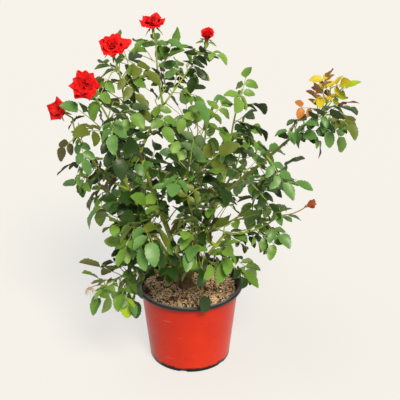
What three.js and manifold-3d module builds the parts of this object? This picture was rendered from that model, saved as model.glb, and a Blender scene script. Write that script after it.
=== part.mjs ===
// A potted rose bush: a 22.5 cm grower's pot with its fill, the crown and canes of the plant,
// the masses of foliage that the canes end in, and the open flowers.
// Millimetres, +Z up. The origin is the middle of the pot's flat underside, +Y points to the back.
import * as THREE from "three";
import { ParametricGeometry } from "three/addons/geometries/ParametricGeometry.js";
import { mergeVertices } from "three/addons/utils/BufferGeometryUtils.js";
import Module from "manifold-3d";

const wasm = await Module();
wasm.setup();

// ---------------------------------------------------------------- driving dimensions

const gap = 0.3; // between neighbouring pieces
const slack = 0.03; // the least distance that a joined solid keeps
const segment = 50; // length of a limb's straight pieces
const barkStep = 7; // between the points that stand for a limb when room is looked for
const spineStep = 8; // and for a mass's stem
const up = new THREE.Vector3(0, 0, 1);

const pot = {
  height: 175,
  rimRadius: 112.5,
  footRadius: 85,
  wall: 1.5,
  floor: 5,
  footRound: 3,
  lip: 8.5, // height of the rolled lip
  lipOverhang: 9.5,
  lipRoll: 4.2, // half the width of its rounded top
  sides: 34,
  drains: 6,
  drainWidth: 15,
  drainHeight: 3.4,
  drainDepth: 9,
  drainTurn: 0.35, // of the way from one drain to the next
};
const soil = { edge: 160, middle: 164, flatRadius: 26, shoulder: 0.62 };
const crown = { x: -8, y: 0, base: 19, waist: 13, knob: 15, height: 38, sides: 10 };

const leaf = {
  thickness: 0.034, // of the leaflet's length
  width: 0.57,
  widest: 0.46,
  thickest: 0.24, // where along it the leaflet is thickest
  sink: 2.5, // how far the end leaflet's root lies back inside the stalk
  stalk: 1.4, // radius of a leaf stalk
  terminal: 1.12,
  pairTurn: 1.15, // of a side leaflet off the stalk's line
  lift: 0.75, // of a leaf along its stem
  rise: 0.15,
  clearance: 2.4, // from a limb's bark
  flowerRoom: 5,
  spaceMargin: 1.6,
  apart: 6.5, // between the sample points of two leaflets of a mass
};
const tints = {
  redPot: "#d8341f", darkRim: "#2c2e33", soil: "#8a6a4c", bark: "#6f8440", cane: "#7d9a3f",
  foliage: "#3f7a3a", youngFoliage: "#8fae2c", petal: "#d81522",
};

// Limbs start at `on` (the crown at a height, or a point `at` along another limb), end at `to` and
// pass `bow` off the middle of the straight line. radius is [at the start, at the tip].
const limbs = [
  { name: "cane_left", rise: 186, to: [-98, -5, 471], bow: [-3, 0, 0], radius: [4.2, 3.1] },
  { name: "cane_right", rise: 184, to: [66, -30, 392], bow: [-10, -4, 10], radius: [4.6, 3.8] },
  { name: "cane_centre", rise: 190, to: [26, 62, 430], bow: [2, 10, 0], radius: [3.8, 2.6] },
  { name: "cane_left_front", rise: 178, to: [-138, -74, 480], bow: [-8, -6, 0], radius: [3.9, 2.7] },
  { name: "cane_back_left", rise: 184, to: [-78, 118, 345], bow: [-6, 10, 10], radius: [3.9, 2.7] },
  { name: "cane_back_right", rise: 180, to: [72, 110, 335], bow: [4, 10, 8], radius: [3.9, 2.7] },
  { name: "cane_front", rise: 176, to: [14, -72, 286], bow: [2, -8, 4], radius: [3.2, 2.3] },
  { name: "cane_low_right", rise: 174, to: [74, -52, 316], bow: [4, -4, 8], radius: [3.5, 2.6] },
  { name: "cane_low_left", rise: 172, to: [-89, -60, 236], bow: [-4, -6, 12], radius: [3.2, 2.3] },
  { name: "cane_far_left", rise: 174, to: [-145, 40, 334], bow: [-8, 6, 8], radius: [3.4, 2.4] },
  { name: "bough_arch", on: "cane_right", at: 1, to: [240, -50, 568], bow: [2, 0, -2], radius: [3.7, 2.3] },
  { name: "bough_top", on: "cane_left", at: 1, to: [-51, 5, 572], bow: [-4, 2, -4], radius: [3, 2.4] },
  { name: "bough_upper_left", on: "cane_left", at: 0.96, to: [-124, -32, 562], bow: [-3, -3, -8],
    radius: [2.7, 2.1] },
  { name: "bough_outer_left", on: "cane_left_front", at: 0.8, to: [-196, -70, 512], bow: [-8, 0, -12],
    radius: [2.4, 1.9] },
  { name: "bough_centre_right", on: "cane_right", at: 0.62, to: [80, 16, 452], bow: [6, 4, -8],
    radius: [3, 2.2] },
  { name: "bough_back", on: "cane_centre", at: 0.35, to: [6, 140, 395], bow: [-2, 6, -8],
    radius: [2.8, 2.1] },
  { name: "bough_right_back", on: "cane_back_right", at: 0.45, to: [124, 66, 310], bow: [4, 4, -6],
    radius: [2.7, 2.0] },
  { name: "bough_front_right", on: "cane_low_right", at: 0.45, to: [66, -78, 262], bow: [2, -6, -6],
    radius: [2.2, 1.8] },
  { name: "bough_front_left", on: "cane_left_front", at: 0.3, to: [-70, -92, 330], bow: [4, -6, -4],
    radius: [2.4, 1.9] },
];

// Masses: one stem each, from a limb's tip (at 1) or its side, with leaves at `nodes` along it and side
// twigs that carry two more each. length is the leaflet's, droop how far the leaves hang.
const masses = [
  { name: "foliage_top", on: "bough_top", to: [-63, 20, 690], bow: [-3, 3, 0],
    radius: [2.3, 1.5], nodes: 4, twigs: 0, length: 42, droop: 0.3, seed: 11 },
  { name: "foliage_top_right", on: "bough_top", at: 0.9, to: [34, 70, 673], bow: [-6, 2, -10],
    radius: [2, 1.4], nodes: 5, twigs: 0, length: 42, droop: 0.45, seed: 12 },
  { name: "foliage_upper_left", on: "bough_upper_left", to: [-141, -30, 686], bow: [5, 0, 0],
    radius: [2, 1.5], nodes: 5, twigs: 0, length: 46, droop: 0.9, seed: 13 },
  { name: "foliage_left_front", on: "cane_left_front", to: [-182, -90, 636], bow: [14, 2, 2],
    radius: [2.6, 1.5], nodes: 4, twigs: 1, twig: 44, length: 47, droop: 0.7, seed: 14 },
  { name: "foliage_outer_left", on: "bough_outer_left", to: [-222, -62, 572], bow: [-6, 0, -6],
    radius: [1.8, 1.4], nodes: 3, twigs: 0, length: 36, droop: 0.8, seed: 15 },
  { name: "foliage_far_left", on: "cane_far_left", to: [-218, 60, 392], bow: [0, 4, 8],
    radius: [2.3, 1.3], nodes: 5, twigs: 0, length: 38, droop: 0.5, seed: 16 },
  { name: "foliage_centre", on: "cane_centre", to: [40, 80, 526], bow: [0, 2, 0],
    radius: [2.5, 1.5], nodes: 5, twigs: 1, twig: 44, length: 48, droop: 0.5, seed: 17 },
  { name: "foliage_centre_right", on: "bough_centre_right", to: [105, 20, 600], bow: [-4, 0, 0],
    radius: [2.1, 1.4], nodes: 5, twigs: 0, length: 44, droop: 0.8, seed: 18 },
  { name: "foliage_arch", on: "bough_arch", at: 0.95, to: [280, -66, 580], bow: [0, -4, 8],
    radius: [1.6, 1.2], nodes: 5, twigs: 0, length: 40, droop: 0.9, seed: 19 },
  { name: "foliage_arch_tip", on: "bough_arch", to: [270, -52, 632], bow: [8, 0, -6],
    radius: [2.2, 1.3], nodes: 5, twigs: 0, length: 36, droop: 0.4, seed: 20, young: true },
  { name: "foliage_right_spray", on: "bough_arch", at: 0.2, to: [175, -72, 462], bow: [0, -4, -6],
    radius: [1.7, 1.2], nodes: 4, twigs: 0, length: 40, droop: 0.35, seed: 21 },
  { name: "foliage_low_right", on: "cane_low_right", to: [180, -88, 376], bow: [0, -4, -12],
    radius: [2.5, 1.4], nodes: 5, twigs: 0, length: 38, droop: 0.3, seed: 22 },
  { name: "foliage_low_left", on: "cane_low_left", to: [-170, -100, 222], bow: [-2, 0, 6],
    radius: [2.2, 1.3], nodes: 5, twigs: 0, length: 42, droop: 0.45, seed: 23 },
  { name: "foliage_front", on: "cane_front", to: [2, -124, 362], bow: [4, -10, 4],
    radius: [2.2, 1.4], nodes: 6, twigs: 2, twig: 44, length: 46, droop: 0.6, seed: 24 },
  { name: "foliage_front_right", on: "bough_front_right", to: [70, -118, 322], bow: [0, -6, 6],
    radius: [1.8, 1.3], nodes: 4, twigs: 0, length: 42, droop: 0.4, seed: 25 },
  { name: "foliage_front_left", on: "bough_front_left", to: [-92, -132, 392], bow: [2, -6, 0],
    radius: [1.8, 1.3], nodes: 5, twigs: 1, twig: 44, length: 48, droop: 0.6, seed: 26 },
  { name: "foliage_middle", on: "cane_right", at: 0.86, to: [-16, -92, 474], bow: [4, -14, 4],
    radius: [2.4, 1.4], nodes: 7, twigs: 2, twig: 46, length: 47, droop: 0.55, seed: 27 },
  { name: "foliage_low_middle", on: "cane_low_left", at: 0.6, to: [-62, -108, 290], bow: [0, -8, 10],
    radius: [1.9, 1.3], nodes: 4, twigs: 0, length: 42, droop: 0.35, seed: 28 },
  { name: "foliage_back", on: "bough_back", to: [-4, 178, 452], bow: [0, 6, -4],
    radius: [2, 1.3], nodes: 5, twigs: 0, length: 50, droop: 0.6, seed: 29 },
  { name: "foliage_back_left", on: "cane_back_left", to: [-122, 160, 404], bow: [-4, 6, -4],
    radius: [2.6, 1.4], nodes: 5, twigs: 0, length: 50, droop: 0.6, seed: 30 },
  { name: "foliage_back_right", on: "cane_back_right", to: [112, 158, 412], bow: [4, 6, -4],
    radius: [2.6, 1.4], nodes: 5, twigs: 0, length: 50, droop: 0.6, seed: 31 },
  { name: "foliage_right_back", on: "bough_right_back", to: [140, 80, 354], bow: [4, 0, -4],
    radius: [1.9, 1.3], nodes: 5, twigs: 0, length: 44, droop: 0.4, seed: 32 },
];

// Flowers: each stands on the tip of a mass's stem. lean tips it off the stem's line, open is how far
// the outer petals lie back in degrees from the stalk's line.
const flowers = [
  { name: "bloom_top", on: "foliage_top", to: [-68, 20, 728], face: [-0.12, -0.1, 1], radius: 30,
    open: 60, seed: 41 },
  { name: "bud_top_right", on: "foliage_top_right", to: [35, 70, 682], face: [0.1, -0.1, 1], radius: 23,
    open: 30, seed: 42 },
  { name: "bloom_upper_left", on: "foliage_upper_left", to: [-141, -31, 700], face: [0, -0.45, 1],
    radius: 33, open: 68, seed: 43 },
  { name: "bloom_left", on: "foliage_left_front", to: [-190, -94, 650], face: [-0.1, -0.85, 0.5],
    radius: 34, open: 76, seed: 44 },
  { name: "bloom_outer_left", on: "foliage_outer_left", to: [-245, -64, 588], face: [-0.5, -0.7, 0.5],
    radius: 26, open: 70, seed: 45 },
];

// ---------------------------------------------------------------- solids and small helpers

function solid(positions, faces) {
  return new wasm.Manifold(new wasm.Mesh({
    numProp: 3, vertProperties: new Float32Array(positions), triVerts: new Uint32Array(faces),
  }));
}

// A closed three.js geometry as a solid: shared vertices merged, faces that shrank to a line dropped.
function solidOf(geometry) {
  geometry.deleteAttribute("normal");
  geometry.deleteAttribute("uv");
  const merged = mergeVertices(geometry, 1e-3);
  const index = merged.index.array;
  const faces = [];
  for (let i = 0; i < index.length; i += 3) {
    const [a, b, c] = [index[i], index[i + 1], index[i + 2]];
    if (a !== b && b !== c && c !== a) faces.push(a, b, c);
  }
  return solid(merged.attributes.position.array, faces);
}

// The biggest piece of a solid, rid of edges shorter than `slack`: loose scraps and sealed hollows go.
function biggest(whole) {
  const pieces = whole.simplify(slack).decompose().sort((a, b) => b.volume() - a.volume());
  return pieces[0];
}

function meshOf(name, whole, colour, roughness) {
  const { vertProperties, triVerts } = whole.getMesh();
  const geometry = new THREE.BufferGeometry();
  geometry.setAttribute("position", new THREE.Float32BufferAttribute(vertProperties, 3));
  geometry.setIndex(new THREE.Uint32BufferAttribute(triVerts, 1));
  geometry.computeVertexNormals();
  const material = new THREE.MeshStandardMaterial({ color: colour, roughness, metalness: 0 });
  const mesh = new THREE.Mesh(geometry, material);
  mesh.name = name;
  return mesh;
}

// A seeded run of numbers from 0 to 1, the same in any language with 32-bit whole numbers.
function randomRun(seed) {
  let state = (seed * 2654435761) >>> 0;
  return () => {
    state = (Math.imul(state, 1664525) + 1013904223) >>> 0;
    return state / 4294967296;
  };
}

const vector = (xyz) => new THREE.Vector3(...xyz);
const across = (direction) => {
  const other = Math.abs(direction.z) > 0.9 ? new THREE.Vector3(1, 0, 0) : up;
  return new THREE.Vector3().crossVectors(direction, other).normalize();
};

// A bowed line: the curve passes `bow` off the middle of the straight line from start to end.
function bowed(start, end, bow) {
  const control = start.clone().add(end).multiplyScalar(0.5).addScaledVector(bow, 2);
  return new THREE.QuadraticBezierCurve3(start, control, end);
}

// A tapering tube along a curve, closed by a flat cut at each end. grow swells it on all sides.
function tube(curve, radii, sides, steps, grow = 0) {
  const side = across(curve.v2.clone().sub(curve.v0).normalize());
  const positions = [];
  const faces = [];
  for (let row = 0; row <= steps; row++) {
    const t = row / steps;
    const tangent = curve.getTangent(t);
    const centre = curve.getPoint(t);
    if (row === 0) centre.addScaledVector(tangent, -grow);
    if (row === steps) centre.addScaledVector(tangent, grow);
    const a = side.clone().addScaledVector(tangent, -side.dot(tangent)).normalize();
    const b = new THREE.Vector3().crossVectors(tangent, a);
    const radius = THREE.MathUtils.lerp(radii[0], radii[1], t) + grow;
    for (let k = 0; k < sides; k++) {
      const turn = (2 * Math.PI * k) / sides;
      const rim = centre.clone().addScaledVector(a, radius * Math.cos(turn));
      positions.push(...rim.addScaledVector(b, radius * Math.sin(turn)).toArray());
    }
  }
  const last = steps * sides;
  for (let k = 0; k < sides; k++) {
    const next = (k + 1) % sides;
    for (let low = 0; low < last; low += sides) {
      const high = low + sides;
      faces.push(low + k, low + next, high + next, low + k, high + next, high + k);
    }
    if (k > 0 && k < sides - 1) faces.push(0, k + 1, k, last, last + k, last + k + 1);
  }
  return solid(positions, faces);
}

// A thin blade: its outline goes round it, and one point above and one below give it its thickness.
function blade(outline, top, bottom) {
  const count = outline.length;
  const faces = [];
  for (let i = 0; i < count; i++) {
    const next = (i + 1) % count;
    faces.push(i, next, count, next, i, count + 1);
  }
  return solid([...outline, top, bottom].flatMap((p) => p.toArray()), faces);
}

// ---------------------------------------------------------------- the pot and its fill

const lipFoot = pot.height - pot.lip;
const wallRadius = (z) => THREE.MathUtils.mapLinear(z, 0, lipFoot, pot.footRadius,
  pot.rimRadius - pot.lipOverhang);
const linerOut = (z) => wallRadius(z) - pot.wall - gap;
const linerIn = (z) => linerOut(z) - pot.wall;

function potWall() {
  const foot = wallRadius(pot.footRound) - pot.footRound;
  const profile = [[0, 0], [foot, 0]];
  for (const turn of [30, 60]) {
    const angle = THREE.MathUtils.degToRad(turn);
    profile.push([foot + pot.footRound * Math.sin(angle), pot.footRound * (1 - Math.cos(angle))]);
  }
  profile.push([wallRadius(pot.footRound), pot.footRound], [wallRadius(lipFoot), lipFoot - gap]);
  profile.push([wallRadius(lipFoot) - pot.wall, lipFoot - gap]);
  profile.push([wallRadius(pot.footRound) - pot.wall, pot.footRound], [foot, pot.floor], [0, pot.floor]);
  let wall = lathe(profile);
  for (let i = 0; i < pot.drains; i++) {
    const cut = new THREE.BoxGeometry(2 * pot.drainDepth, pot.drainWidth, 2 * pot.drainHeight);
    cut.translate(foot + pot.footRound + 2, 0, 0);
    cut.rotateZ((2 * Math.PI * (i + pot.drainTurn)) / pot.drains);
    wall = wall.subtract(solidOf(cut));
  }
  return wall;
}

function lathe(profile, sides = pot.sides) {
  const points = profile.map(([x, z]) => new THREE.Vector2(x, z));
  return solidOf(new THREE.LatheGeometry(points, sides).rotateX(Math.PI / 2));
}

function potLiner() {
  const foot = pot.floor + 6;
  const rim = pot.rimRadius;
  const profile = [
    [linerIn(foot), foot], [linerOut(foot), foot], [linerOut(lipFoot), lipFoot],
    [rim - 1.2, lipFoot], [rim, lipFoot + 3], [rim - 1.2, pot.height - 1.6], [rim - pot.lipRoll, pot.height],
    [rim - 2 * pot.lipRoll, pot.height - 1.6], [linerIn(lipFoot), lipFoot], [linerIn(foot), foot],
  ];
  return lathe(profile);
}

function pottingMix() {
  const foot = pot.floor + 7;
  const reach = (z) => linerIn(z) - gap;
  const profile = [
    [0, foot], [reach(foot), foot], [reach(soil.edge), soil.edge],
    [reach(soil.edge) * soil.shoulder, soil.middle - 1.2], [soil.flatRadius, soil.middle], [0, soil.middle],
  ];
  return lathe(profile);
}

// The crown: a knobbly foot that flares at the soil and swells where the canes leave it.
function crownSolid(grow = 0) {
  const rows = [
    [0, crown.base], [0.22, crown.waist + 1], [0.5, crown.waist], [0.72, crown.knob],
    [0.92, crown.knob * 0.72],
  ];
  const stacks = rows.length + 1;
  const floor = soil.middle + gap;
  const point = (u, v, target) => {
    const row = Math.round(v * stacks);
    const isCap = row === 0 || row === stacks;
    const [level, radius] = rows[THREE.MathUtils.clamp(row - 1, 0, rows.length - 1)];
    const turn = 2 * Math.PI * u;
    const knobbly = 1 + 0.12 * Math.cos(3 * turn + 5 * level);
    const reach = isCap ? 0 : radius * knobbly + grow;
    const height = row === stacks ? crown.height + grow : level * crown.height - (level ? 0 : grow);
    target.set(crown.x + reach * Math.cos(turn), crown.y + reach * Math.sin(turn), floor + height);
  };
  return solidOf(new ParametricGeometry(point, crown.sides, stacks));
}

// ---------------------------------------------------------------- limbs

const paths = new Map(); // every limb's and stem's curve and radii, by name
const bark = []; // points down the middle of each limb and its radius there

function addPath(name, start, { to, bow, radius }) {
  const curve = bowed(start, vector(to), vector(bow));
  paths.set(name, { curve, radius });
  return curve;
}

// A point of a limb, or just clear of its tip where the next piece continues it.
function startOn({ on, at = 1, rise }) {
  if (!on) return new THREE.Vector3(crown.x, crown.y, rise);
  const { curve } = paths.get(on);
  const point = curve.getPoint(at);
  return at === 1 ? point.addScaledVector(curve.getTangent(1), gap) : point;
}

function growLimb(limb, earlier) {
  const curve = addPath(limb.name, startOn(limb), limb);
  const length = curve.getLength();
  const steps = Math.max(3, Math.round(length / segment));
  let wood = tube(curve, limb.radius, 5, steps);
  for (const other of earlier) wood = wood.subtract(other);
  const count = Math.ceil(length / barkStep);
  for (let i = 0; i <= count; i++) {
    const t = i / count;
    bark.push({ point: curve.getPoint(t), radius: THREE.MathUtils.lerp(...limb.radius, t) });
  }
  const swollen = tube(curve, limb.radius, 5, steps, gap);
  return { wood: biggest(wood), swollen };
}

// ---------------------------------------------------------------- leaves

// A leaf of 3 or 5 leaflets: a stalk from `base`, pairs along it and one leaflet at its end.
function compoundLeaf(base, direction, length, pairs, roll, droop) {
  const side = across(direction).applyAxisAngle(direction, roll);
  const face = new THREE.Vector3().crossVectors(side, direction);
  const stalkLength = length * (0.5 + 0.5 * pairs);
  const end = base.clone().addScaledVector(direction, stalkLength);
  const leaflets = [];
  const add = (share, turn, size) => {
    const root = base.clone().lerp(end, share);
    const along = direction.clone().applyAxisAngle(face, turn).addScaledVector(up, -droop).normalize();
    const wide = new THREE.Vector3().crossVectors(along, face).normalize();
    const normal = new THREE.Vector3().crossVectors(wide, along);
    leaflets.push({ root, along, wide, normal, length: length * size });
  };
  for (let pair = 0; pair < pairs; pair++) {
    const share = pairs === 1 ? 0.58 : 0.37 + 0.34 * pair;
    const size = pairs === 1 ? 0.86 : 0.74 + 0.14 * pair;
    add(share, leaf.pairTurn, size);
    add(share + 0.03, -leaf.pairTurn, size);
  }
  add(1 - leaf.sink / stalkLength, 0, leaf.terminal);
  return { base, end, leaflets };
}

// A leaflet: a kite-shaped blade whose root lies on the axis of the stalk that it is fused to.
function leafletBlade({ root, along, wide, normal, length }) {
  const at = (x, y, z) => root.clone().addScaledVector(along, x * length)
    .addScaledVector(wide, y * length).addScaledVector(normal, z * length);
  const half = leaf.width / 2;
  const outline = [root, at(leaf.widest, half, -0.02), at(1, 0, -0.05), at(leaf.widest, -half, -0.02)];
  const thick = leaf.thickness / 2;
  return blade(outline, at(leaf.thickest, 0, thick), at(leaf.thickest, 0, -thick));
}

// Points all over a leaflet, close enough together that nothing thin passes between them.
function leafletSamples({ root, along, wide, length }) {
  const samples = [];
  for (const x of [0.2, 0.4, 0.6, 0.8, 1]) {
    const half = leaf.width * 0.5 * (x < leaf.widest ? x / leaf.widest : (1 - x) / (1 - leaf.widest));
    for (const y of x === 1 ? [0] : [-1, 0, 1]) {
      samples.push(root.clone().addScaledVector(along, x * length).addScaledVector(wide, y * half * length));
    }
  }
  return samples;
}

// ---------------------------------------------------------------- spaces

const spines = []; // points along every mass's stem, each with its mass's name

function isFree(point, mass) {
  let own = Infinity;
  let other = Infinity;
  for (const spine of spines) {
    const distance = spine.point.distanceTo(point);
    if (spine.name === mass) own = Math.min(own, distance);
    else other = Math.min(other, distance);
  }
  if (own + 2 * leaf.spaceMargin > other) return false;
  for (const { point: wood, radius } of bark) {
    if (wood.distanceTo(point) < radius + leaf.clearance) return false;
  }
  for (const { centre, radius } of flowerRooms) {
    if (centre.distanceTo(point) < radius + leaf.flowerRoom) return false;
  }
  const out = Math.hypot(point.x, point.y);
  if (point.z > pot.height + 4) return true;
  if (out > pot.rimRadius + 4) return point.z > 20;
  return out < linerIn(point.z) - 6 && point.z > soil.middle + 5;
}

// ---------------------------------------------------------------- masses

const goldenTurn = 2.39996;

// A direction off a stem: round it by `turn`, `lift` forward along it.
function outward(tangent, turn, lift) {
  const side = across(tangent).applyAxisAngle(tangent, turn);
  return side.addScaledVector(tangent, lift).normalize();
}

// Whether a leaflet lies in its mass's own space, clear of the leaflets that are there already.
function hasRoom(samples, name, taken) {
  return samples.every((p) => isFree(p, name) && taken.every((other) => other.distanceTo(p) > leaf.apart));
}

// Tries a leaf at a few turns round its stem and keeps the one with the most leaflets in free space.
function tryLeaf(base, tangent, turn, draw, mass, taken) {
  const [size, roll, pairs, droop] = draw;
  let best = null;
  for (const shift of [0, 0.7, -0.7, 1.5, -1.5, 2.4]) {
    const sideways = outward(tangent, turn + shift, leaf.lift);
    const direction = sideways.addScaledVector(up, leaf.rise - droop).normalize();
    const whole = compoundLeaf(base, direction, mass.length * size, pairs, roll, droop * 0.5);
    const half = base.clone().lerp(whole.end, 0.5);
    if (!hasRoom([half, whole.end], mass.name, taken)) continue;
    const kept = whole.leaflets.filter((one) => hasRoom(leafletSamples(one), mass.name, taken));
    if (kept.length && (!best || kept.length > best.leaflets.length)) best = { ...whole, leaflets: kept };
    if (kept.length === whole.leaflets.length) break;
  }
  return best;
}

function drawLeaf(random, mass) {
  const size = 0.85 + 0.3 * random();
  const roll = (random() - 0.5) * 2;
  const pairs = random() < 0.35 ? 1 : 2;
  const droop = mass.droop * (0.5 + random());
  const turn = (random() - 0.5) * 0.7;
  return { draw: [size, roll, pairs, droop], turn };
}

// The whole plan of a mass: its stem, its side twigs and its leaves.
function planMass(mass) {
  const random = randomRun(mass.seed);
  const { curve, radius } = paths.get(mass.name);
  const twigs = [];
  const leaves = [];
  const taken = spines.filter((spine) => spine.name === mass.name).map((spine) => spine.point);
  let turn = random() * 2 * Math.PI;
  const leafAt = (path, t) => {
    turn += goldenTurn;
    const drawn = drawLeaf(random, mass);
    const around = turn + drawn.turn;
    const found = tryLeaf(path.getPoint(t), path.getTangent(t), around, drawn.draw, mass, taken);
    if (!found) return;
    leaves.push(found);
    taken.push(...found.leaflets.flatMap(leafletSamples));
    for (const share of [0.4, 0.7, 1]) taken.push(found.base.clone().lerp(found.end, share));
  };
  const last = flowers.some((flower) => flower.on === mass.name) ? 0.86 : 0.96;
  for (let i = 0; i < mass.nodes; i++) leafAt(curve, 0.14 + ((last - 0.14) * i) / (mass.nodes - 1));
  for (let i = 0; i < mass.twigs; i++) {
    const t = 0.2 + (0.5 * (i + random())) / mass.twigs;
    const length = mass.twig * (0.8 + 0.4 * random());
    turn += goldenTurn;
    const base = curve.getPoint(t);
    for (const shift of [0, 0.8, -0.8, 1.6, -1.6, 2.6]) {
      const direction = outward(curve.getTangent(t), turn + shift, 0.9);
      const end = base.clone().addScaledVector(direction, length);
      const twig = bowed(base, end, up.clone().multiplyScalar(length * 0.06));
      const line = [0.35, 0.6, 0.8, 1].map((s) => twig.getPoint(s));
      if (!hasRoom(line, mass.name, taken)) continue;
      taken.push(...line);
      twigs.push({ curve: twig, radius: [radius[1] * 0.95, radius[1] * 0.7] });
      for (const s of [0.5, 1]) leafAt(twig, s);
      break;
    }
  }
  return { twigs, leaves };
}

const stemSteps = (curve) => Math.max(2, Math.round(curve.getLength() / segment));

function massSolid(mass, swollen) {
  const { curve, radius } = paths.get(mass.name);
  const { twigs, leaves } = planMass(mass);
  let whole = tube(curve, radius, 5, stemSteps(curve));
  for (const twig of twigs) whole = whole.add(tube(twig.curve, twig.radius, 3, 2));
  for (const { base, end, leaflets } of leaves) {
    const line = bowed(base, end, new THREE.Vector3());
    whole = whole.add(tube(line, [leaf.stalk * 1.1, leaf.stalk], 3, 1));
    for (const one of leaflets) whole = whole.add(leafletBlade(one));
  }
  for (const other of swollen) whole = whole.subtract(other);
  return biggest(whole);
}

// ---------------------------------------------------------------- flowers

const flowerRooms = flowers.map((flower) => {
  const face = vector(flower.face).normalize();
  const centre = vector(flower.to).addScaledVector(face, flower.radius * 0.35);
  return { centre, radius: flower.radius };
});

// The rows of a flower from below its hip, over three lobed whorls of petals, to its middle:
// distance from the axis, height, depth of the notches between petals, and turn of the petals.
function flowerRows(reach, open, hip) {
  const lean = THREE.MathUtils.degToRad(open);
  const ridge = (size, share) => [
    reach * size * Math.sin(lean * share), reach * size * Math.cos(lean * share),
  ];
  const valley = (size, rise) => [reach * size * Math.sin(lean), reach * rise];
  return [
    [0, -hip * 1.3, 0, 0], [hip, 0, 0, 0],
    [...valley(0.46, 0.16), 0.1, 0], [...ridge(1, 1), 0.3, 0], [...valley(0.5, 0.32), 0.05, 0],
    [...ridge(0.86, 0.66), 0.24, 0.5], [...valley(0.3, 0.42), 0, 0.5], [...ridge(0.74, 0.36), 0.12, 0.2],
    [0, reach * 0.52, 0, 0],
  ];
}

// A flower on its stalk: the hip, five sepals, and three whorls of petals that close to the middle.
function flowerSolid(flower) {
  const random = randomRun(flower.seed);
  const { curve, radius } = paths.get(flower.on);
  const start = curve.getPoint(1).addScaledVector(curve.getTangent(1), gap);
  const face = vector(flower.face).normalize();
  const seat = vector(flower.to);
  const side = across(face);
  const hip = 3 + flower.radius * 0.05;
  const rows = flowerRows(flower.radius, flower.open, hip);
  const petals = 5;
  const sizes = Array.from({ length: petals }, () => 0.9 + 0.16 * random());
  const point = (u, v, target) => {
    const [out, rise, notch, turn] = rows[Math.round(v * (rows.length - 1))];
    const share = (u * petals) % 1;
    const lobe = 1 - notch * (2 * Math.abs(share - 0.5)) ** 2;
    const size = notch > 0.1 ? lobe * sizes[Math.floor(u * petals) % petals] : lobe;
    const way = side.clone().applyAxisAngle(face, (2 * Math.PI * (u * petals + turn)) / petals);
    target.copy(seat).addScaledVector(face, rise).addScaledVector(way, out * size);
  };
  let whole = solidOf(new ParametricGeometry(point, petals * 3, rows.length - 1));
  whole = whole.add(tube(bowed(start, seat, new THREE.Vector3()), [1.4, 1.6], 5, 1));
  const sepalLean = THREE.MathUtils.degToRad(flower.open > 40 ? 125 : 70);
  for (let i = 0; i < 5; i++) {
    const out = side.clone().applyAxisAngle(face, 0.6 + (2 * Math.PI * i) / 5);
    const along = face.clone().multiplyScalar(Math.cos(sepalLean)).addScaledVector(out, Math.sin(sepalLean));
    const wide = new THREE.Vector3().crossVectors(out, face);
    const normal = new THREE.Vector3().crossVectors(wide, along);
    const root = seat.clone().addScaledVector(out, hip * 0.4);
    whole = whole.add(leafletBlade({ root, along, wide, normal, length: 9 + flower.radius * 0.4 }));
  }
  return biggest(whole.subtract(tube(curve, radius, 5, stemSteps(curve), gap)));
}

// ---------------------------------------------------------------- the plant, put together

const plant = new THREE.Group();
plant.add(meshOf("pot_wall", potWall(), tints.redPot, 0.35));
plant.add(meshOf("pot_liner", potLiner(), tints.darkRim, 0.45));
plant.add(meshOf("potting_mix", pottingMix(), tints.soil, 1));
plant.add(meshOf("crown", crownSolid(), tints.bark, 0.8));

const swollenLimbs = [crownSolid(gap)];
for (const limb of limbs) {
  const { wood, swollen } = growLimb(limb, swollenLimbs);
  plant.add(meshOf(limb.name, wood, tints.cane, 0.6));
  swollenLimbs.push(swollen);
}

for (const mass of masses) {
  const curve = addPath(mass.name, startOn(mass), mass);
  const count = Math.ceil(curve.getLength() / spineStep);
  for (let i = 0; i <= count; i++) spines.push({ name: mass.name, point: curve.getPoint(i / count) });
}

for (const mass of masses) {
  const tint = mass.young ? tints.youngFoliage : tints.foliage;
  plant.add(meshOf(mass.name, massSolid(mass, swollenLimbs), tint, 0.5));
}
for (const flower of flowers) plant.add(meshOf(flower.name, flowerSolid(flower), tints.petal, 0.5));

export default plant;
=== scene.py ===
# A potted rose bush: its pot and potting mix, canes, twigs, leaves, open blooms and small buds.
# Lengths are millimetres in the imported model's frame, and putMesh turns them into metres.
import math

import bpy
import numpy as np
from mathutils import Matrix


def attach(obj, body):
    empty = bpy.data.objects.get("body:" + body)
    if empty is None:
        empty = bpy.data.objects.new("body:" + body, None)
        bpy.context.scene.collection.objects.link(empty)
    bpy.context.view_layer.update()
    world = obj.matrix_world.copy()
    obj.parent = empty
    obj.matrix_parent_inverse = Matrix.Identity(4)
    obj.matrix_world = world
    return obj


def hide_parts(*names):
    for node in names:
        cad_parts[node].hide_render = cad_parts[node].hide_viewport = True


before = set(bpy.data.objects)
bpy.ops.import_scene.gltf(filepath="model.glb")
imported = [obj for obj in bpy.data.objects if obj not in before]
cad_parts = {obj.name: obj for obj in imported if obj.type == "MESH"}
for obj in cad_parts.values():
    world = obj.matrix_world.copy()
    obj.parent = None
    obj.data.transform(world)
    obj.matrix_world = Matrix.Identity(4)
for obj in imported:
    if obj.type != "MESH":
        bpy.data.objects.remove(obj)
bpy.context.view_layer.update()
print("frame loaded,", len(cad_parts), "nodes")

up = np.array([0.0, 0.0, 1.0])
goldenTurn = 2.39996
gap = 0.3  # between a limb's tip and the stem that goes on from it


# Each row of vectors over its own length.
def unit(vectors):
    return vectors / np.linalg.norm(vectors, axis=-1, keepdims=True)


# A direction square to the given one: its cross product with up, or with X where it stands upright.
def across(direction):
    upright = np.abs(direction[..., 2:]) > 0.9
    return unit(np.cross(direction, np.where(upright, [1.0, 0.0, 0.0], up)))


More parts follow.
